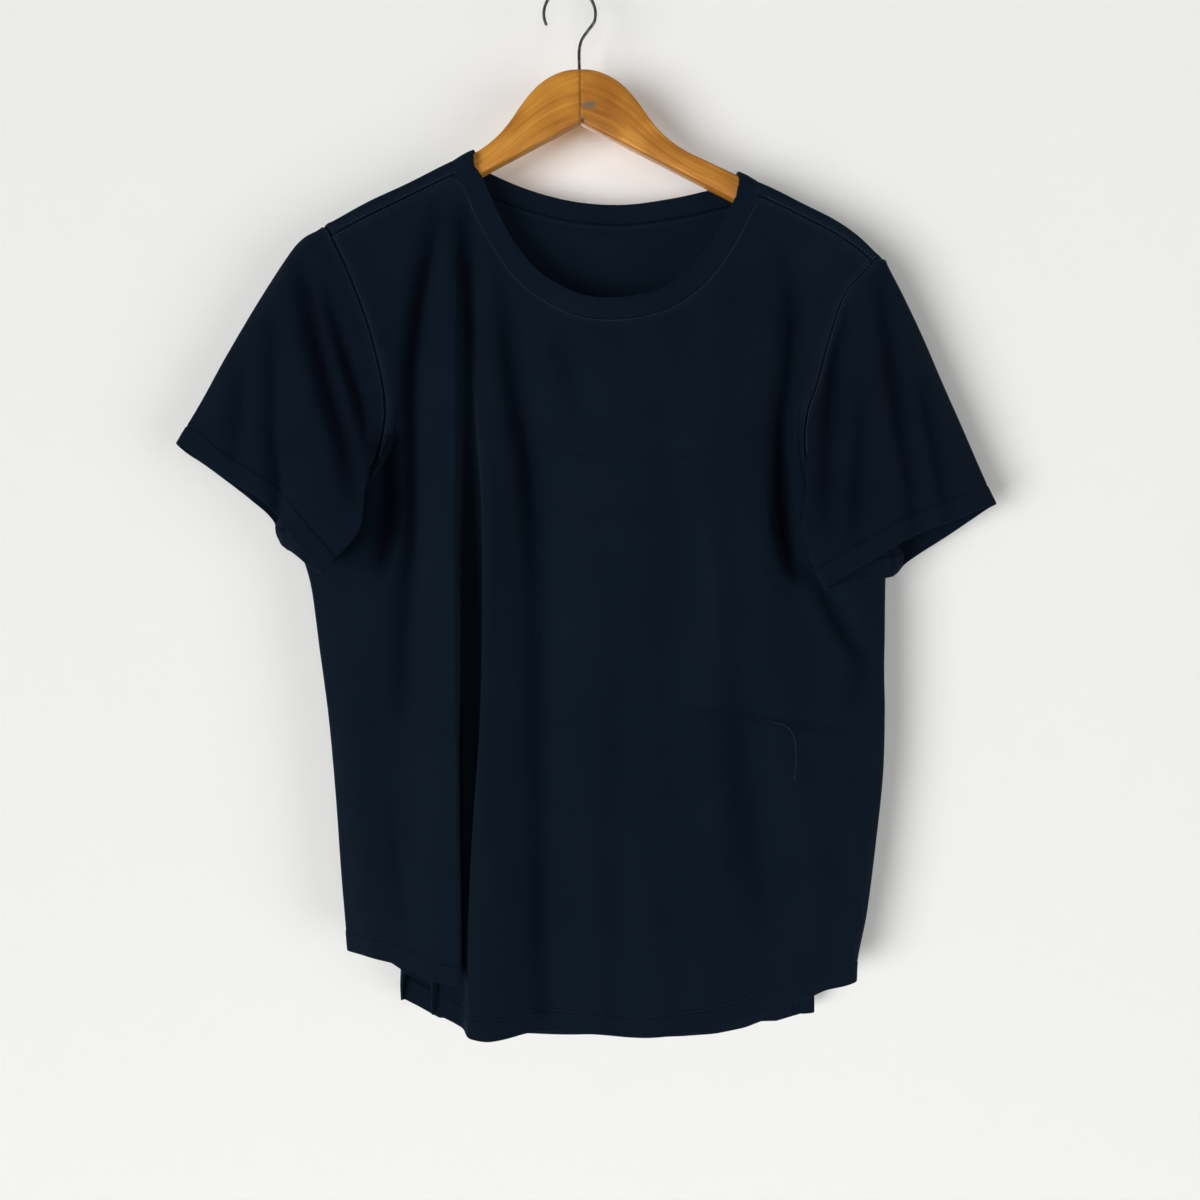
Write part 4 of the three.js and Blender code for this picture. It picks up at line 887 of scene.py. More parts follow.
# Neck seam of the back, from the left neck point to the right one (x, z).
NECKLINE_BACK = np.array([
    (-87.5, -143.5), (-74, -151), (-52.1, -160.5), (-25.1, -170.2), (4, -176.6), (31.4, -179),
    (60, -177.8), (88.3, -173.5), (113.8, -168.5), (130, -166), (138.5, -166)])
# Armholes down the back to the armpit (x, y, z).
ARMHOLE_BACK_LEFT = [
    (-174, 9.5, -222), (-162, 10, -270), (-165, 10, -335), (-190, 8, -380), (-222, 0, -399)]
ARMHOLE_BACK_RIGHT = [
    (208, 9.5, -252), (190, 10, -300), (187, 10, -365), (206, 8, -415), (236, 0, -432)]
# Lines down the back from left to right. x and y are given at the top, chest, underarm, waist, hip
# and hem, and then the height of the hem.
BACK_LINES_LEFT = [((-150, -146, -165, -175, -172, -168), (8, 11, 12, 13, 13, 12), -746)]
BACK_PLEAT_LEFT = dict(
    xs=(-114, -125, -135, -139, -140, -139.5), ys=(8, 13, 14.5, 14, 13, 12),
    turns=(24, 30, 60, 120, 170, 180), backs=(1, 3, 5, 6, 7, 7.5), hems=(-765, -786))
BACK_LINES_MIDDLE = [
    ((-58, -72, -78, -82, -84, -84), (10, 17, 21, 23.5, 25, 25), -811),
    ((-28, -44, -45, -45, -45, -44), (11, 16, 20, 22, 23, 23), -816),
    ((4, 0, 0, 0, 0, 0), (12, 18, 22, 25, 26, 26), -818.5),
    ((40, 42, 42, 42, 42, 42), (12, 17, 21, 23, 24, 24), -821),
    ((80, 86, 88, 88, 88, 88), (11, 17, 22, 25, 26, 26), -820.5),
    ((112, 116, 118, 119, 119, 119), (10, 16, 20, 23, 24, 25), -816),
]
BACK_PLEAT_RIGHT = dict(
    xs=(170, 158, 161, 170, 174, 173.5), ys=(8, 13, 18, 21, 22, 22),
    turns=(-24, -30, -60, -120, -170, -180), backs=(1, 3, 5, 7, 9, 10), hems=(-802, -786))
BACK_LINES_RIGHT = [((200, 172, 177, 205, 204, 192), (8, 12, 13, 12, 12, 10), -777)]
# The lines that begin round each corner of the neck, at these angles over the ridge. Each lies
# further in than the one before it, by one step at the top and another below.
NECK_CORNER_ANGLES = np.array([-90, -72, -55, -38, -22, 0, 22, 38, 55, 72, 90])
NECK_CORNER_STEP = np.array([0.35, 1.2, 1.2, 1.2, 1.2, 1.2])
NECK_CORNER_LEFT = ((-91, -104, -113, -118, -120, -120), (8, 15, 19, 22, 24, 24), -802)
NECK_CORNER_RIGHT = ((142, 144, 145, 146, 147, 147), (8, 15, 19, 22, 23, 24), -810)
# Soft creases behind: width, and rows of (x, z, depth).
BACK_CREASES = [
    (11, [(-96, -205, 0), (-98, -300, -2), (-104, -430, -2.4), (-106, -600, -1.8), (-108, -760, -1)]),
    (9, [(-20, -230, 0), (-22, -330, -1.6), (-24, -480, -1.8), (-20, -640, -1), (-18, -740, 0)]),
    (10, [(64, -215, 0), (66, -320, -1.9), (62, -450, -2.2), (66, -610, -2), (64, -780, -1.2)]),
    (8, [(138, -240, 0), (135, -330, -1.7), (138, -470, -2), (146, -620, -1.2), (148, -740, 0)]),
    (6, [(-150, -330, 0), (-128, -372, -1.1), (-96, -402, 0)]),
    (6, [(176, -372, 0), (150, -402, -1.2), (112, -425, 0)]),
    (5, [(-70, -560, 0), (-20, -566, -0.6), (40, -562, 0)]),
]


def shoulder_back(x):
    """Height of the back of the shoulder at x."""
    return ridge(x) - SHOULDER_DROP


def from_ridge(line, start=-90):
    """A line and its rows over the ridge: round from the start's angle, then straight down."""
    first = line[2](np.array([0.0]))[0]
    arc = RIDGE_ARC * (90 - start) / 90
    fall = shoulder_back(first[0]) - first[2]
    run = (arc + fall) * np.arange(RIDGE_ROWS) / RIDGE_ROWS
    rows = over_ridge(first[0], np.minimum(start + (90 - start) * run / max(arc, 1e-6), 90))
    rows[:, 2] -= np.maximum(run - arc, 0)
    return rows, line


def from_neck(line):
    """A line and its rows just below the neck seam."""
    first = line[2](np.array([0.0]))[0]
    top = through(*NECKLINE_BACK.T, first[0])
    z = top + (first[2] - top) * np.arange(RIDGE_ROWS) / RIDGE_ROWS
    return np.stack([0 * z + first[0], 0 * z + first[1], z], axis=-1), line


def back_edge(tops, armhole, side, inward=0):
    """The edge of the back, or the line inside it, with its rows over the ridge."""
    line = edge_line(over_ridge(tops["back"], 90), armhole, side, 1, inward)
    shift = inward * ARMHOLE_TURN[0]
    angle = -90 + 180 * np.arange(RIDGE_ROWS) / RIDGE_ROWS
    end = np.where(angle < 0, tops["front"], tops["back"])
    x = end + (tops["ridge"] - end) * np.cos(np.radians(angle)) + shift
    return over_ridge(x, angle), line


def neck_corner(corner, inward):
    """The lines that begin round one corner of the neck."""
    lines = []
    for number, angle in enumerate(NECK_CORNER_ANGLES):
        xs = corner[0] + inward * number * NECK_CORNER_STEP
        depth = NECK_ROWS_DEPTH * number / (len(NECK_CORNER_ANGLES) - 1)
        line = hanging_line(xs, corner[1], corner[2], shoulder_back(xs[0]) - depth)
        lines.append(from_ridge(line, angle))
    return lines[::inward]


back_lines = [
    back_edge(ARMHOLE_TOP_LEFT, ARMHOLE_BACK_LEFT, SIDE_LEFT),
    back_edge(ARMHOLE_TOP_LEFT, ARMHOLE_BACK_LEFT, SIDE_LEFT, 1),
    *map(from_ridge, hanging_lines(BACK_LINES_LEFT, shoulder_back)),
    *map(from_ridge, pleat_lines(**BACK_PLEAT_LEFT, top_of=shoulder_back)),
    *neck_corner(NECK_CORNER_LEFT, 1),
    *map(from_neck, hanging_lines(BACK_LINES_MIDDLE,
                                  lambda x: through(*NECKLINE_BACK.T, x) - NECK_ROWS_DEPTH)),
    *neck_corner(NECK_CORNER_RIGHT, -1),
    *map(from_ridge, pleat_lines(**BACK_PLEAT_RIGHT, top_of=shoulder_back)),
    *map(from_ridge, hanging_lines(BACK_LINES_RIGHT, shoulder_back)),
    back_edge(ARMHOLE_TOP_RIGHT, ARMHOLE_BACK_RIGHT, SIDE_RIGHT, -1),
    back_edge(ARMHOLE_TOP_RIGHT, ARMHOLE_BACK_RIGHT, SIDE_RIGHT),
]
back_grid = across(np.concatenate([
    np.stack([rows for rows, _ in back_lines], axis=1),
    hang([line for _, line in back_lines], BACK_SHARES)]))
# Outside the neck the cloth follows the ridge in every column, not only in the lines.
NECK_LEFT, NECK_RIGHT = -91, 142
outside = (back_grid[0, :, 0] < NECK_LEFT - 0.05) | (back_grid[0, :, 0] > NECK_RIGHT + 0.05)
over_shoulder = back_grid[:RIDGE_ROWS + 1, outside, 0]
over_shoulder = over_ridge(over_shoulder, -90 + 180 * np.arange(RIDGE_ROWS + 1)[:, None] / RIDGE_ROWS)
below = back_grid[RIDGE_ROWS:, outside]
settle(below, over_shoulder[-1], BACK_SHARES)
back_grid[RIDGE_ROWS:, outside] = below
back_grid[:RIDGE_ROWS, outside] = over_shoulder[:-1]
neck_row = back_grid[0, ~outside][::-1]

ARMPIT_LEFT = np.array([-222, 0, -399])
ARMPIT_RIGHT = np.array([236, 0, -432])
SQUARE_ON = (0.1, 1, 1)          # a panel's creases go in nearly square to it, also at its rolled edges
CREASES_FROM_SIDE = 14           # distance over which they fade out beside the side seams
CREASES_FROM_TOP = 10            # and below the neck and the shoulders
RIPPLE = 0.6                     # height of a panel's small ripples
FAR_ABOVE = 99.0                 # stands for every row that lies well above the hem


def above_hem(grid):
    """Distance of each row above the hem."""
    return np.concatenate([np.full(len(grid) - len(HEM_STEPS), FAR_ABOVE), HEM_STEPS])[:, None]


def hem_rope(phase, above):
    """The slight roping of a hem: a low sine along it, which fades out above the stitches."""
    return 0.25 * np.sin(phase) * ease((HEM_DEPTH + 8 - above) / 12)


def hem_groove(above):
    """The groove that the hem's stitches draw in: a narrow bell curve across the rows."""
    return 0.4 * np.exp(-((above - HEM_DEPTH) / 0.9)**2)


def seam_dip(distance, width=1.3, depth=0.8):
    """How far the cloth sinks beside a seam, with a slight puff a few millimetres from it."""
    return 0.35 * np.exp(-((distance - 3.5) / 2)**2) - depth * np.exp(-(distance / width)**2)


def wall_of(above):
    """The cloth's wall in each row, which is doubled below the hem's stitches."""
    return CLOTH_WALL + (HEM_WALL - CLOTH_WALL) * ease((HEM_DEPTH + 0.6 - above) / 1.2)


def sewn_panel(name, grid, creases, seed):
    """A panel from its grid: creases and ripples, then the seams on three sides and the hem.

    The creases fade out beside the seams. Returns the piece, its grid and its normals.
    """
    above = above_hem(grid)
    sideways, down = lengths_along(grid), lengths_along(grid.swapaxes(0, 1)).T
    from_side = np.minimum(sideways, sideways[:, -1:] - sideways)
    normals = normals_of(grid)
    free = ease(from_side / CREASES_FROM_SIDE) * ease(down / CREASES_FROM_TOP)
    moved = rippled(creased(grid, unit(normals * SQUARE_ON), creases), normals, RIPPLE, seed) - grid
    # This keeps how far each point moved into a crease or onto a ridge, for painted shade and painted
    # highlight in the cloth's colour.
    painted_shade = free * (moved * normals).sum(-1)
    grid = grid + free[..., None] * moved
    seams = seam_dip(from_side) + seam_dip(down) - hem_groove(above)
    rope = hem_rope(0.19 * sideways + 2 * np.sin(0.031 * sideways), above)
    grid = grid + (seams + rope)[..., None] * normals_of(grid)
    normals = normals_of(grid)
    for column in (0, -1):
        armpit, outward = (ARMPIT_LEFT, -1) if grid[-1, column, 0] < 0 else (ARMPIT_RIGHT, 1)
        edge = grid[:, column]
        below = (edge[:, 2] < armpit[2])[:, None]
        normals[:, column] = np.where(below, [outward, 0, 0], armhole_normal(edge, armpit, outward))
    # The seams' dips and the hem's groove are added as painted shade, and the puffs beside the seams as
    # painted highlight.
    piece = shell(name, grid, normals, wall_of(above), navy_knit, painted_shade + SEAM_SHADE * seams)
    return piece, grid, normals


# Turned about, the columns run from right to left, and the normals point behind.
back_panel, back_grid, back_normals = sewn_panel("back_cloth", back_grid[:, ::-1], BACK_CREASES, 5)
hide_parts("back_panel")


# ---- Front panel ---------------------------------------------------------------------------------
# Cut in one under a wide neck, with a curved hem. Below the left neck point it folds into one deep
# pleat that runs to the hem, and hangs in soft folds to the right of it.

# Neck seam of the front, from the left neck point to the right one (x, z).
NECKLINE_FRONT = np.array([
    (-91, -145), (-87.5, -148), (-83, -154.5), (-70.9, -182.8), (-56.9, -208.7), (-39.5, -231.1),
    (-18.3, -246.3), (2.9, -256), (24.1, -258.8), (45.4, -257.5), (66.9, -252.5), (88.6, -240.8),
    (108.8, -221.2), (125.7, -195.9), (138, -173.5), (142, -166.5)])
# Armholes down the front to the armpit (x, y, z).
ARMHOLE_FRONT_LEFT = [
    (-172, -10, -222), (-156, -13, -270), (-147, -14, -318), (-150, -14, -345),
    (-158, -14, -368), (-182, -10, -389), (-222, 0, -399)]
ARMHOLE_FRONT_RIGHT = [
    (207.5, -10, -242), (194, -12, -275), (183, -13, -312), (175, -13, -336),
    (174, -13, -368), (192, -10, -410), (236, 0, -432)]
# Lines down the front from left to right, given as on the back.
FRONT_LINES_LEFT = [
    ((-150, -131, -150, -171, -169, -165), (-8, -13, -13, -15, -17, -18), -741),
    ((-106, -119, -129, -136.5, -139, -141), (-8, -12.5, -15, -18, -20, -23), -746.5),
    ((-96, -99, -109, -113, -115, -117), (-8, -17, -25, -31, -32, -32), -755.5),
]
FRONT_PLEAT = dict(
    xs=(-89, -93, -96, -97, -97.6, -99), ys=(-8.3, -18.5, -27, -32.5, -33.5, -33),
    turns=(4, 52, 84, 95, 115, 150), backs=(1.5, 6, 16, 21, 20, 25), radii=(8, 4, 3.5, 2.5, 2.5, 2.5),
    hems=(-759, -787))
FRONT_LINES_RIGHT = [
    ((-80.5, -81, -76, -81, -90.5, -98), (-9.1, -10.5, -7, -8, -10, -17), -795.5),
    ((-76, -76.5, -72.5, -77.5, -87.5, -92.5), (-9.3, -13, -26, -27.5, -28.5, -27.5), -799),
    ((-71, -70, -69, -74, -84, -89), (-9.9, -18.5, -29, -30.5, -31, -30.5), -800),
    ((-65, -58, -58, -65, -72, -75), (-10.6, -20, -25.5, -28.5, -29.5, -30), -802.5),
    ((-54, -42, -34.5, -37, -38, -38.5), (-12, -16.5, -19, -20, -20, -19), -799),
    ((-22, -8, 0, 0, 2, 3), (-16, -20, -23, -25, -25, -24), -800.5),
    ((26, 32, 40, 42, 44, 45), (-18, -22.5, -26, -27.5, -28, -28), -802.5),
    ((86, 88, 88, 88, 92, 95), (-14.5, -21, -25, -27, -27.5, -27), -797),
    ((120, 121, 118, 118, 134, 134), (-11, -18, -22, -22, -21, -20), -788),
    ((136, 140, 136, 150, 166, 156), (-8.8, -17, -20, -22, -21, -18), -781),
    ((142, 147, 141, 158, 173, 163), (-8, -16.5, -19, -21, -20, -17), -780),
    ((160, 164, 156, 190, 195, 180), (-8, -11, -12, -14, -13, -11), -775.5),
    ((200, 174, 169, 212, 211, 195), (-8, -13, -14, -11, -11, -9), -773),
]
# Soft creases in front: width, and rows of (x, z, depth).
FRONT_CREASES = [
    (7.5, [(-98, -157, 0), (-104, -172, -3), (-114, -210, -8), (-122, -253, -9), (-127, -300, -9),
           (-128, -408, -7), (-134, -472, -5), (-138, -531, -3), (-141, -568, 0)]),
    (9, [(-87, -156, 0), (-85, -190, -6.5), (-83, -232, -8), (-81, -275, -6), (-81, -320, -2),
         (-81, -350, 0)]),
    (8, [(-57, -225, 0), (-53, -275, -5), (-47, -321, -6.5), (-40, -368, -7), (-35, -472, -5.5),
         (-36, -576, -5), (-37, -677, -5.5), (-37, -779, -4)]),
    (8, [(-18, -258, 0), (-9, -291, -1.7), (1, -327, -1.7), (10, -360, 0)]),
    (7.5, [(163, -195, 0), (165, -235, -4), (165, -270, -6.5), (161, -305, -6.5), (155, -340, -8),
           (155, -385, -11.5), (157, -420, -12), (162, -447, -7), (171, -470, 0)]),
    (9, [(-143, -325, 0), (-145, -355, -7), (-146, -400, -11), (-150, -430, -8), (-157, -452, 0)]),
    (7, [(166, -440, 0), (180, -462, -5), (194, -489, -6.5), (204, -508, -6), (213, -523, -4.5),
         (209, -540, -3), (203, -560, 0)]),
    (11, [(110, -480, 0), (116, -581, -2.6), (121, -630, -3.4), (127, -672, -3), (139, -735, 0)]),
    (9, [(93, -400, 0), (99, -450, 1.8), (101, -513, 1.8), (104, -570, 0)]),
    (3, [(76, -554, 0), (88, -557, -1.1), (133, -563, -1.3), (178, -572, -1.2), (222, -581, 0)]),
    (5, [(-149, -600, 0), (-147, -645, -1.5), (-142, -686, -1.7), (-136, -725, 0)]),
    (12, [(58, -300, 0), (63, -360, -1.2), (67, -450, -1.7), (62, -560, -1.1), (60, -660, -1.6),
          (63, -790, -1)]),
    (10, [(22, -420, 0), (25, -500, -0.9), (18, -620, -1.6), (15, -790, -1.4)]),
]


def front_top(x):
    """Height of the front's top edge at x: the neck seam, or the forward shoulder seams."""
    shoulder = ridge(x) - SHOULDER_DROP - SEAM_GAP
    return np.where((x > NECK_LEFT) & (x < NECK_RIGHT), through(*NECKLINE_FRONT.T, x), shoulder)


def front_edge(tops, armhole, side, inward=0):
    """The edge of the front, or the line inside it, from just under the shoulder seam."""
    return edge_line(over_ridge(tops["front"], -90) - (0, 0, SEAM_GAP), armhole, side, -1, inward)


front_lines = [
    front_edge(ARMHOLE_TOP_LEFT, ARMHOLE_FRONT_LEFT, SIDE_LEFT),
    front_edge(ARMHOLE_TOP_LEFT, ARMHOLE_FRONT_LEFT, SIDE_LEFT, 1),
    *hanging_lines(FRONT_LINES_LEFT, front_top),
    *pleat_lines(**FRONT_PLEAT, top_of=front_top),
    *hanging_lines(FRONT_LINES_RIGHT, front_top),
    front_edge(ARMHOLE_TOP_RIGHT, ARMHOLE_FRONT_RIGHT, SIDE_RIGHT, -1),
    front_edge(ARMHOLE_TOP_RIGHT, ARMHOLE_FRONT_RIGHT, SIDE_RIGHT),
]
front_grid = across(hang(front_lines, UPPER_SHARES))
front_target = front_grid[0].copy()
front_target[:, 2] = front_top(front_target[:, 0])
in_neck = (front_target[:, 0] > NECK_LEFT) & (front_target[:, 0] < NECK_RIGHT)
front_target[~in_neck, 1] = -RIDGE_HALF_DEPTH
settle(front_grid, front_target, UPPER_SHARES)
neck_ring_front = front_grid[0, in_neck]
front_panel, front_grid, front_normals = sewn_panel("front_cloth", front_grid, FRONT_CREASES, 3)
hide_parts("front_panel")


# ---- Sleeves -------------------------------------------------------------------------------------
# Set-in short sleeves, each cut in one with an underarm seam and a turned-up cuff hem. They hang
# flat from the shoulders, and their lower corners fold over the front of the body.

# Lines along each sleeve from the armhole to the cuff: at is the share of the way round from the
# ridge over the front to the armpit and up the back; fold is how far the cloth first rolls out over
# the panel; then come its points near the armhole, far from it and at the cuff.
SLEEVE_LINES_LEFT = [
    (0.00, 0.0, (-219, 0, -198), (-262, 0, -264), (-311, 0, -345)),
    (0.03, 0.0, (-214, -10, -208), (-254, -9, -277), (-299, -6, -351)),
    (0.10, 0.0, (-202, -15, -248), (-239, -15, -306), (-284, -9, -364)),
    (0.19, 0.0, (-187, -20, -297), (-219, -20, -337), (-258, -11, -381)),
    (0.28, 0.3, (-172, -24, -337), (-202, -26, -369), (-238, -17, -395)),
    (0.33, 1.0, (-163, -27, -361), (-188, -33, -398), (-213, -32, -424)),
    (0.38, 1.0, (-161, -29, -388), (-165, -34, -418), (-194, -36, -447)),
    (0.45, 1.0, (-190, -18, -404), (-193, -22, -422), (-207, -23, -441)),
    (0.485, 1.6, (-213, -17, -402), (-217, -18, -417), (-219, -13, -432)),
    (0.52, 1.3, (-232, -5, -405), (-234, -5, -415), (-231, -2, -425)),
    (0.58, 0.9, (-214, 12, -392), (-227, 13, -400), (-239, 7, -406)),
    (0.68, 0.6, (-194, 15, -353), (-223, 16, -371), (-257, 10, -389)),
    (0.80, 0.0, (-195, 16, -300), (-233, 17, -337), (-277, 12, -373)),
    (0.90, 0.0, (-205, 14, -249), (-248, 13, -305), (-295, 10, -359)),
    (0.96, 0.0, (-215, 9.5, -210), (-256, 8, -279), (-306, 6, -351)),
]
SLEEVE_LINES_RIGHT = [
    (0.00, 0.0, (264, 0, -266), (292, 0, -334), (321.5, 0, -405)),
    (0.03, 0.0, (255, -12, -276), (281, -12, -343), (307, -8, -409)),
    (0.10, 0.0, (233, -17, -296), (259, -20, -359), (284, -14, -418)),
    (0.17, 0.0, (212, -21, -326), (238, -25, -381), (257, -19, -427)),
    (0.24, 0.5, (187, -26, -362), (205, -31, -408), (220, -30, -446)),
    (0.30, 1.0, (171, -27, -396), (168, -34, -428), (182, -37, -467.5)),
    (0.38, 1.0, (184, -20, -412), (188, -24, -436), (202, -25, -465)),
    (0.45, 1.0, (212, -15, -431), (216, -16, -446), (224, -16, -461)),
    (0.485, 1.5, (230, -13, -436), (233, -13, -448), (236, -10, -460)),
    (0.515, 1.3, (246, -4, -439), (248, -4, -448), (244, -2, -457)),
    (0.58, 0.6, (230, 13, -424), (242, 14, -437), (253, 12, -450)),
    (0.68, 0.3, (213, 16, -383), (240, 18, -411), (267, 16, -441)),
    (0.80, 0.0, (217, 17, -337), (249, 18, -382), (288, 14, -428)),
    (0.90, 0.0, (240, 14, -295), (269, 13, -356), (307, 9, -415)),
    (0.96, 0.0, (255, 10, -279), (283, 8, -344), (317, 5, -408)),
]
SLEEVE_PLACES = (0, 0.06, 0.36, 0.68, 1)     # where those points lie down the sleeve
SLEEVE_COLUMNS = 176
SLEEVE_ROWS = 61                 # between those beside the armhole and those at the hem
SLEEVE_FINE_ROWS = 121           # of the first, fine form that the rows are then measured on
CREASES_FROM_ARMHOLE = 12        # distances over which creases and ripples fade out at the armhole
RIPPLES_FROM_ARMHOLE = 20
SLEEVE_RIPPLE = 0.35
ARMHOLE_STEPS = 60
SEAM_ROLL = 1.8                  # size of the roll of cloth at the armhole seam
NEAR_SEAM = np.array([0, 0.7, 1.4, 2.2, 3.2, 4.6, 6.6, 9])      # the rows beside the armhole
# Soft creases on the front of each sleeve: width, and rows of (x, z, depth).
SLEEVE_CREASES_LEFT = [
    (8, [(-213, -200, 0), (-209, -222, -5), (-201, -263, -8), (-189, -312, -8.5), (-178, -350, -7),
         (-171, -385, -4), (-168, -405, 0)]),
    (6, [(-193, -215, 0), (-185, -250, -5), (-174, -290, -7), (-164, -322, -6.5), (-159, -350, -2)]),
    (7, [(-231, -240, 0), (-232, -262, -2.6), (-233, -300, -4), (-235, -335, -4.5), (-232, -375, -5),
         (-231, -402, -4)]),
    (7, [(-256, -280, 0), (-258, -299, -2.6), (-262, -326, -3.6), (-264, -355, -2.4)]),
]
SLEEVE_CREASES_RIGHT = [
    (7, [(234, -222, 0), (235, -240, -3.5), (239, -287, -6), (245, -347, -5.5), (250, -379, -5),
         (254, -420, -2.5)]),
    (7, [(262, -300, 0), (265, -323, -3.6), (272, -356, -4.5), (279, -397, -3.5), (282, -418, -1.5)]),
    (7.5, [(208, -240, 0), (202, -260, -4), (195, -297, -6.5), (189, -340, -6.5), (185, -380, -5),
           (183, -420, -2)]),
    (6, [(217, -300, 0), (214, -350, -3.5), (208, -398, -4.2), (206, -430, -2)]),
]


def armhole_ring(front_edge_line, back_rows, back_edge_line):
    """The armhole as a closed ring of even steps: ridge, front, armpit, back and ridge again."""
    shares = np.linspace(0, 1, ARMHOLE_STEPS)
    ridge_row = RIDGE_ROWS // 2
    ring = np.concatenate([
        back_rows[ridge_row:0:-1], front_edge_line[2](shares)[:-1],
        back_edge_line[2](shares)[::-1], back_rows[:ridge_row:-1], back_rows[ridge_row:ridge_row + 1]])
    length = lengths_along(ring)
    places = np.linspace(0, length[-1], SLEEVE_COLUMNS + 1)[:-1]
    return np.stack([np.interp(places, length, axis) for axis in ring.T], axis=-1)


def sleeve(name, ring, table, creases, armpit, outward, seed):
    """A sleeve, with its grid and normals.

    Each column is the cubic through the armhole, the roll beside it, and its line's points near
    the armhole, far from it and at the cuff. Only the front of the sleeve is creased.
    """
    at, roll_out, near, far, cuff = (np.array(column, float) for column in zip(*table))
    shares = np.arange(SLEEVE_COLUMNS) / SLEEVE_COLUMNS
    keys = np.concatenate([[at[-1] - 1], at, [1, 1 + at[1]]])

    def round_sleeve(values):
        """The values of the table's lines, carried smoothly round every column."""
        return through(keys, np.concatenate([values[-1:], values, values[:2]]), shares)

    normals = armhole_normal(ring, armpit, outward)
    normals = unit(sum(np.roll(normals, shift, 0) for shift in (-2, -1, 0, 1, 2)))
    run = np.roll(ring, -1, 0) - np.roll(ring, 1, 0)
    away = unit(np.cross(run, normals) * -outward)
    start = ring + SEAM_GAP * away
    roll = ring + SEAM_ROLL * (away + round_sleeve(roll_out)[:, None] * normals)
    stations = np.stack([start, roll, *map(round_sleeve, (near, far, cuff))])
    dense = through(SLEEVE_PLACES, stations, np.linspace(0, 1, SLEEVE_FINE_ROWS))
    length = lengths_along(dense.swapaxes(0, 1))[:, -1]
    near_rows = NEAR_SEAM[:, None] * np.clip((length - 22) / 30, 0.1, 1)
    hem_rows = length - HEM_STEPS[:, None]
    between = np.linspace(0, 1, SLEEVE_ROWS + 1)[1:, None]
    middle_rows = near_rows[-1] + (hem_rows[0] - HEM_ROW_GAP - near_rows[-1]) * between
    grid = at_distance(dense, np.concatenate([near_rows, middle_rows, hem_rows]))
    if outward > 0:
        # Turned about, so that the right sleeve faces outwards too.
        grid, normals = grid[:, ::-1], normals[::-1]
    above = above_hem(grid)
    down = lengths_along(grid.swapaxes(0, 1)).T
    facing = normals_of(grid, wrap=True)
    free = ease(down / CREASES_FROM_ARMHOLE) * ease(-2 * facing[..., 1] - 0.2)
    moved = creased(grid, facing, creases) - grid
    # This keeps how far each point moved into a crease, for painted shade and painted highlight in the
    # cloth's colour.
    painted_shade = free * (moved * facing).sum(-1)
    ripple_free = ease(down / RIPPLES_FROM_ARMHOLE)[..., None]
    grid = rippled(grid + free[..., None] * moved, ripple_free * facing, SLEEVE_RIPPLE, seed)
    round_at = lengths_along(grid)
    from_underarm = np.abs(round_at - round_at[:, SLEEVE_COLUMNS // 2, None])
    seams = seam_dip(down, depth=0.6) + 0.6 * seam_dip(from_underarm) - hem_groove(above)
    rope = hem_rope(0.21 * round_at, above)
    grid = grid + (seams + rope)[..., None] * normals_of(grid, wrap=True)
    facing = normals_of(grid, wrap=True)
    facing[0] = normals
    # The seams' dips and the cuff's groove are added as painted shade, and the puffs beside the seams as
    # painted highlight.
    piece = shell(name, grid, facing, wall_of(above), sleeve_knit, painted_shade + SEAM_SHADE * seams, wrap=True)
    return piece, grid, facing


# For each sleeve: which edge of the panels it is sewn to, its tables, its armpit, the way that it
# points, and the number that its ripples are drawn from.
SLEEVES = {
    "left": (0, SLEEVE_LINES_LEFT, SLEEVE_CREASES_LEFT, ARMPIT_LEFT, -1, 7),
    "right": (-1, SLEEVE_LINES_RIGHT, SLEEVE_CREASES_RIGHT, ARMPIT_RIGHT, 1, 9),
}
sleeves = {}
for side, (edge, lines, creases, armpit, outward, seed) in SLEEVES.items():
    ring = armhole_ring(front_lines[edge], *back_lines[edge])
    sleeves[side] = sleeve(f"sleeve_cloth_{side}", ring, lines, creases, armpit, outward, seed)
    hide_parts(f"sleeve_{side}")


# ---- Neckband ------------------------------------------------------------------------------------
# A doubled band of the same jersey, joined a little right of the centre back. It stands in from
# the neck seam, rounds over at its free edge and lifts slightly where it crosses the wood.

BAND_WIDTH = 14.5                # seam to free edge
BAND_WALL = 1.8
BAND_SEAM_GAP = 0.45
BAND_ROUND = 0.45                # how far it stands out at its middle
BAND_FLARE = 0.8                 # how far its free edge lifts where it crosses the wood
BAND_COLUMNS = 300
BAND_JOIN_X = 29.8
BAND_JOIN_DEPTH, BAND_JOIN_WIDTH = 0.5, 0.9
# Its rows, as shares of the way from the seam to the free edge.
BAND_SHARES = np.array([
    0, 0.03, 0.07, 0.13, 0.21, 0.31, 0.42, 0.53, 0.64, 0.74, 0.83, 0.9, 0.95, 0.98, 1])


def neck_ring(front, back):
    """The neck seam as a closed ring of even steps, begun at the join.

    It runs along the front from left to right and returns along the back.
    """
    ring = np.concatenate([front, back])
    start = len(front) + np.abs(back[:, 0] - BAND_JOIN_X).argmin()
    ring = np.roll(ring, -start, axis=0)
    return along(np.concatenate([ring, ring[:1]]), np.linspace(0, 1, BAND_COLUMNS + 1))[:-1]


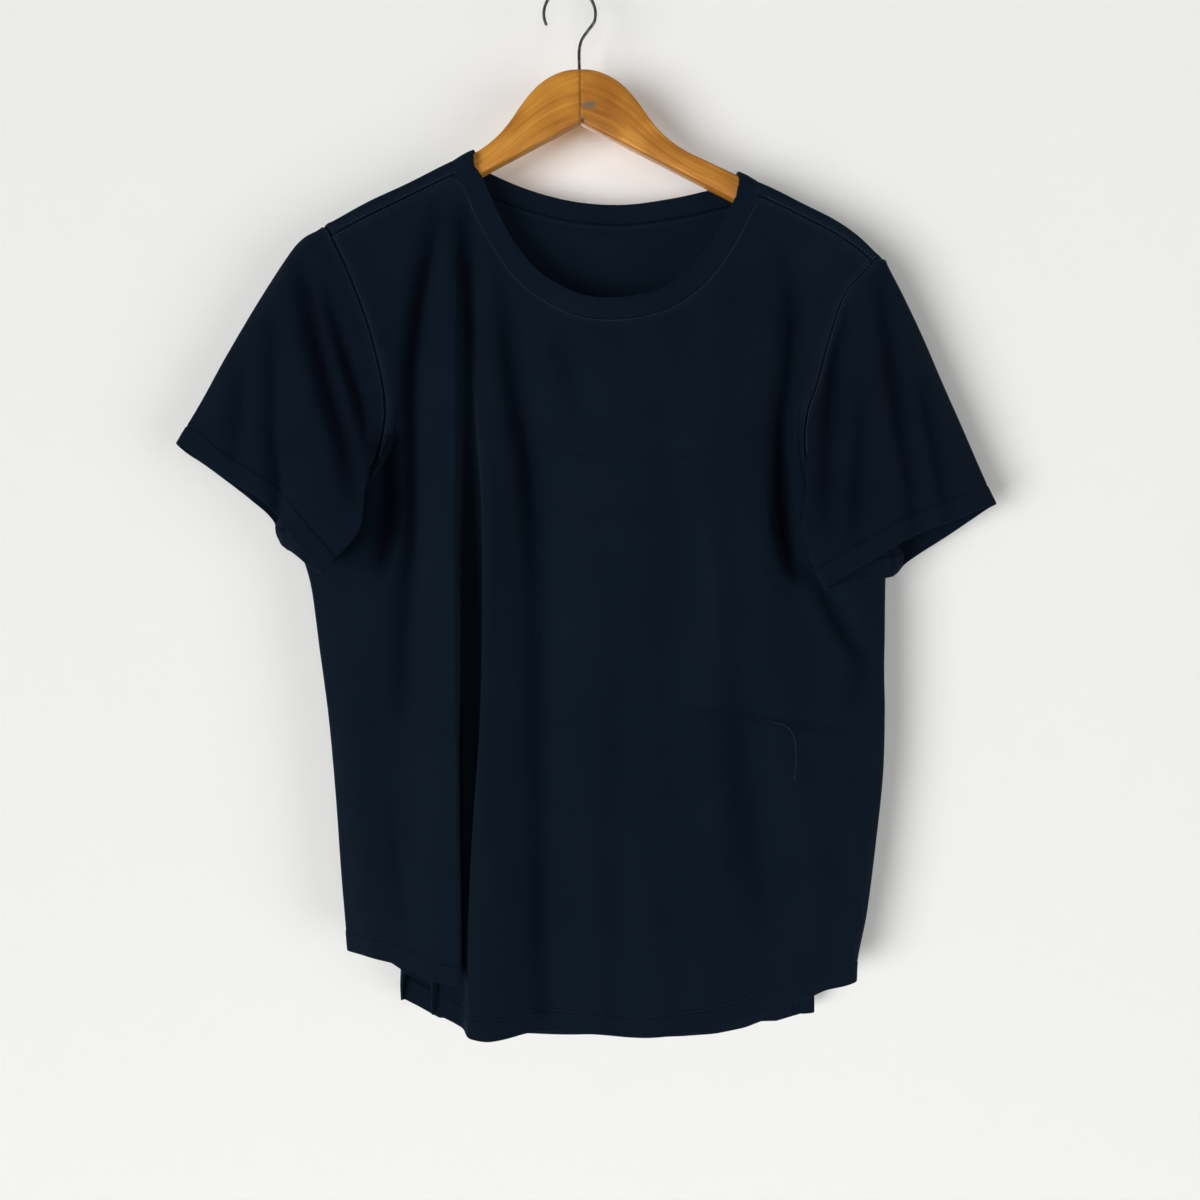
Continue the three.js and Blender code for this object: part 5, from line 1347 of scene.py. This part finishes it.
# The back's first row is walked from right to left, without the point that the front also has.
neck_behind = neck_row[neck_row[:, 1] > -RIDGE_HALF_DEPTH + 0.1]
band_seam = neck_ring(neck_ring_front, neck_behind)
band_up = shoulder_normal(band_seam)
band_up = unit(sum(np.roll(band_up, shift, 0) for shift in range(-3, 4)))
band_in = unit(np.cross(band_up, np.roll(band_seam, -1, 0) - np.roll(band_seam, 1, 0)))
shares = BAND_SHARES[:, None, None]
reach = BAND_SEAM_GAP + (BAND_WIDTH - BAND_SEAM_GAP) * shares
lift = BAND_ROUND * np.sin(np.pi * shares) + BAND_FLARE * shares * band_up[None, :, 2:]
round_band = lengths_along(band_seam)
from_join = np.minimum(np.arange(BAND_COLUMNS), BAND_COLUMNS - np.arange(BAND_COLUMNS)) * (
    round_band[-1] / BAND_COLUMNS)
join_dip = BAND_JOIN_DEPTH * np.exp(-(from_join / BAND_JOIN_WIDTH)**2)[None, :, None]
waver = 0.12 * np.sin(0.35 * round_band)[None, :, None]
lift = lift - join_dip * np.clip(shares * 4, 0, 1) + waver * np.sin(np.pi * shares)
band_grid = (band_seam + reach * band_in + lift * band_up)[:, ::-1]
band_normals = normals_of(band_grid, wrap=True)
band_normals[0] = band_up[::-1]
neckband = shell("neckband_cloth", band_grid, band_normals, BAND_WALL, navy_knit, 0.0, wrap=True)
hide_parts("neckband")


# ---- Stitching -----------------------------------------------------------------------------------
# Rows of navy thread a shade lighter than the cloth: round the neck just outside the band, on both
# sides of the armholes and the shoulder seams, and along the turned-up hem. The cuffs are sewn with
# thread darker than the cloth, painted shade for the dark line along their seams. One end of thread is
# loose.

BESIDE_SEAM = 1.9                # from a seam to the stitches beside it
NECK_STITCHES = 3.0
NECK_THREAD_RADIUS = 0.34
HEM_THREAD_LIFT = 0.1            # the hems' stitches lie in their groove, and are lifted clear of it
HEM_ROW = -len(HEM_STEPS) + int(np.abs(HEM_STEPS - HEM_DEPTH).argmin())


def beside(grid, normals, distance, rows=slice(None)):
    """A line on the outer face at a distance from the grid's first row, and its normals."""
    far = np.array([[distance]])
    up = unit(at_distance(grid, far, normals)[0])[rows]
    return at_distance(grid, far)[0][rows] + up * CLOTH_WALL / 2, up


def joined(*lines):
    """Several lines with their normals as one."""
    return [np.concatenate(parts) for parts in zip(*lines)]


def closed(line, up):
    """A ring of points as a line that comes back to its start."""
    return np.concatenate([line, line[:1]]), np.concatenate([up, up[:1]])


def at_hem(grid, normals):
    """The line of a hem's stitches on the outer face, and its normals."""
    return grid[HEM_ROW] + normals[HEM_ROW] * (CLOTH_WALL / 2 + HEM_THREAD_LIFT), normals[HEM_ROW]


front_threads, back_threads, sleeve_threads = [], [], {}
neck_line = joined(beside(front_grid, front_normals, NECK_STITCHES, in_neck),
                   beside(back_grid, back_normals, NECK_STITCHES, ~outside[::-1]))
front_threads.append(stitches("stitches_neck", *closed(*neck_line), thread, NECK_THREAD_RADIUS))
for name, grid, normals, threads in (("front", front_grid, front_normals, front_threads),
                                     ("back", back_grid, back_normals, back_threads)):
    threads.append(stitches(f"stitches_hem_{name}", *at_hem(grid, normals), thread))
    sides = {"left": (grid, normals), "right": (grid[:, ::-1], normals[:, ::-1])}
    if name == "back":
        sides = {"left": sides["right"], "right": sides["left"]}
    for side, (turned, turned_normals) in sides.items():
        armpit = SLEEVES[side][3]
        rows = int((turned[:, 0, 2] > armpit[2] + 2).sum())
        line, up = beside(turned[:rows].swapaxes(0, 1), turned_normals[:rows].swapaxes(0, 1), BESIDE_SEAM)
        threads.append(stitches(f"stitches_armhole_{name}_{side}", line, up, thread))
        shoulder = (grid[0, :, 0] < NECK_LEFT) if side == "left" else (grid[0, :, 0] > NECK_RIGHT)
        line, up = beside(grid, normals, BESIDE_SEAM, shoulder)
        threads.append(stitches(f"stitches_shoulder_{name}_{side}", line, up, thread))
for side, (_, grid, normals) in sleeves.items():
    seam = closed(*beside(grid, normals, BESIDE_SEAM + SEAM_GAP))
    # The cuffs' stitches use the darker thread, as painted shade along the cuff seams.
    sleeve_threads[side] = [
        stitches(f"stitches_cuff_{side}", *closed(*at_hem(grid, normals)), shade_line_thread, slot="sleeve_knit"),
        stitches(f"stitches_sleeve_head_{side}", *seam, thread, slot="sleeve_knit")]

# The loose end lies on the front near the right seam: each point is on the cloth nearest to it.
LOOSE_END = np.array([(142, -568), (152, -570.5), (158, -579.5), (159, -592), (157, -613)])
LOOSE_RINGS, LOOSE_RADIUS, LOOSE_LIFT = 60, 0.2, 0.25
flat_front, flat_up = front_grid.reshape(-1, 3), front_normals.reshape(-1, 3)
nearest = ((flat_front[:, None, [0, 2]] - LOOSE_END) ** 2).sum(-1).argmin(0)
loose_points = flat_front[nearest] + flat_up[nearest] * (CLOTH_WALL / 2 + LOOSE_LIFT)
loose_path = along(loose_points, np.linspace(0, 1, LOOSE_RINGS))
loose_end = tube("loose_thread", loose_path, np.full(LOOSE_RINGS, LOOSE_RADIUS), 6, (0, -1, 0), thread)
front_threads.append(loose_end)
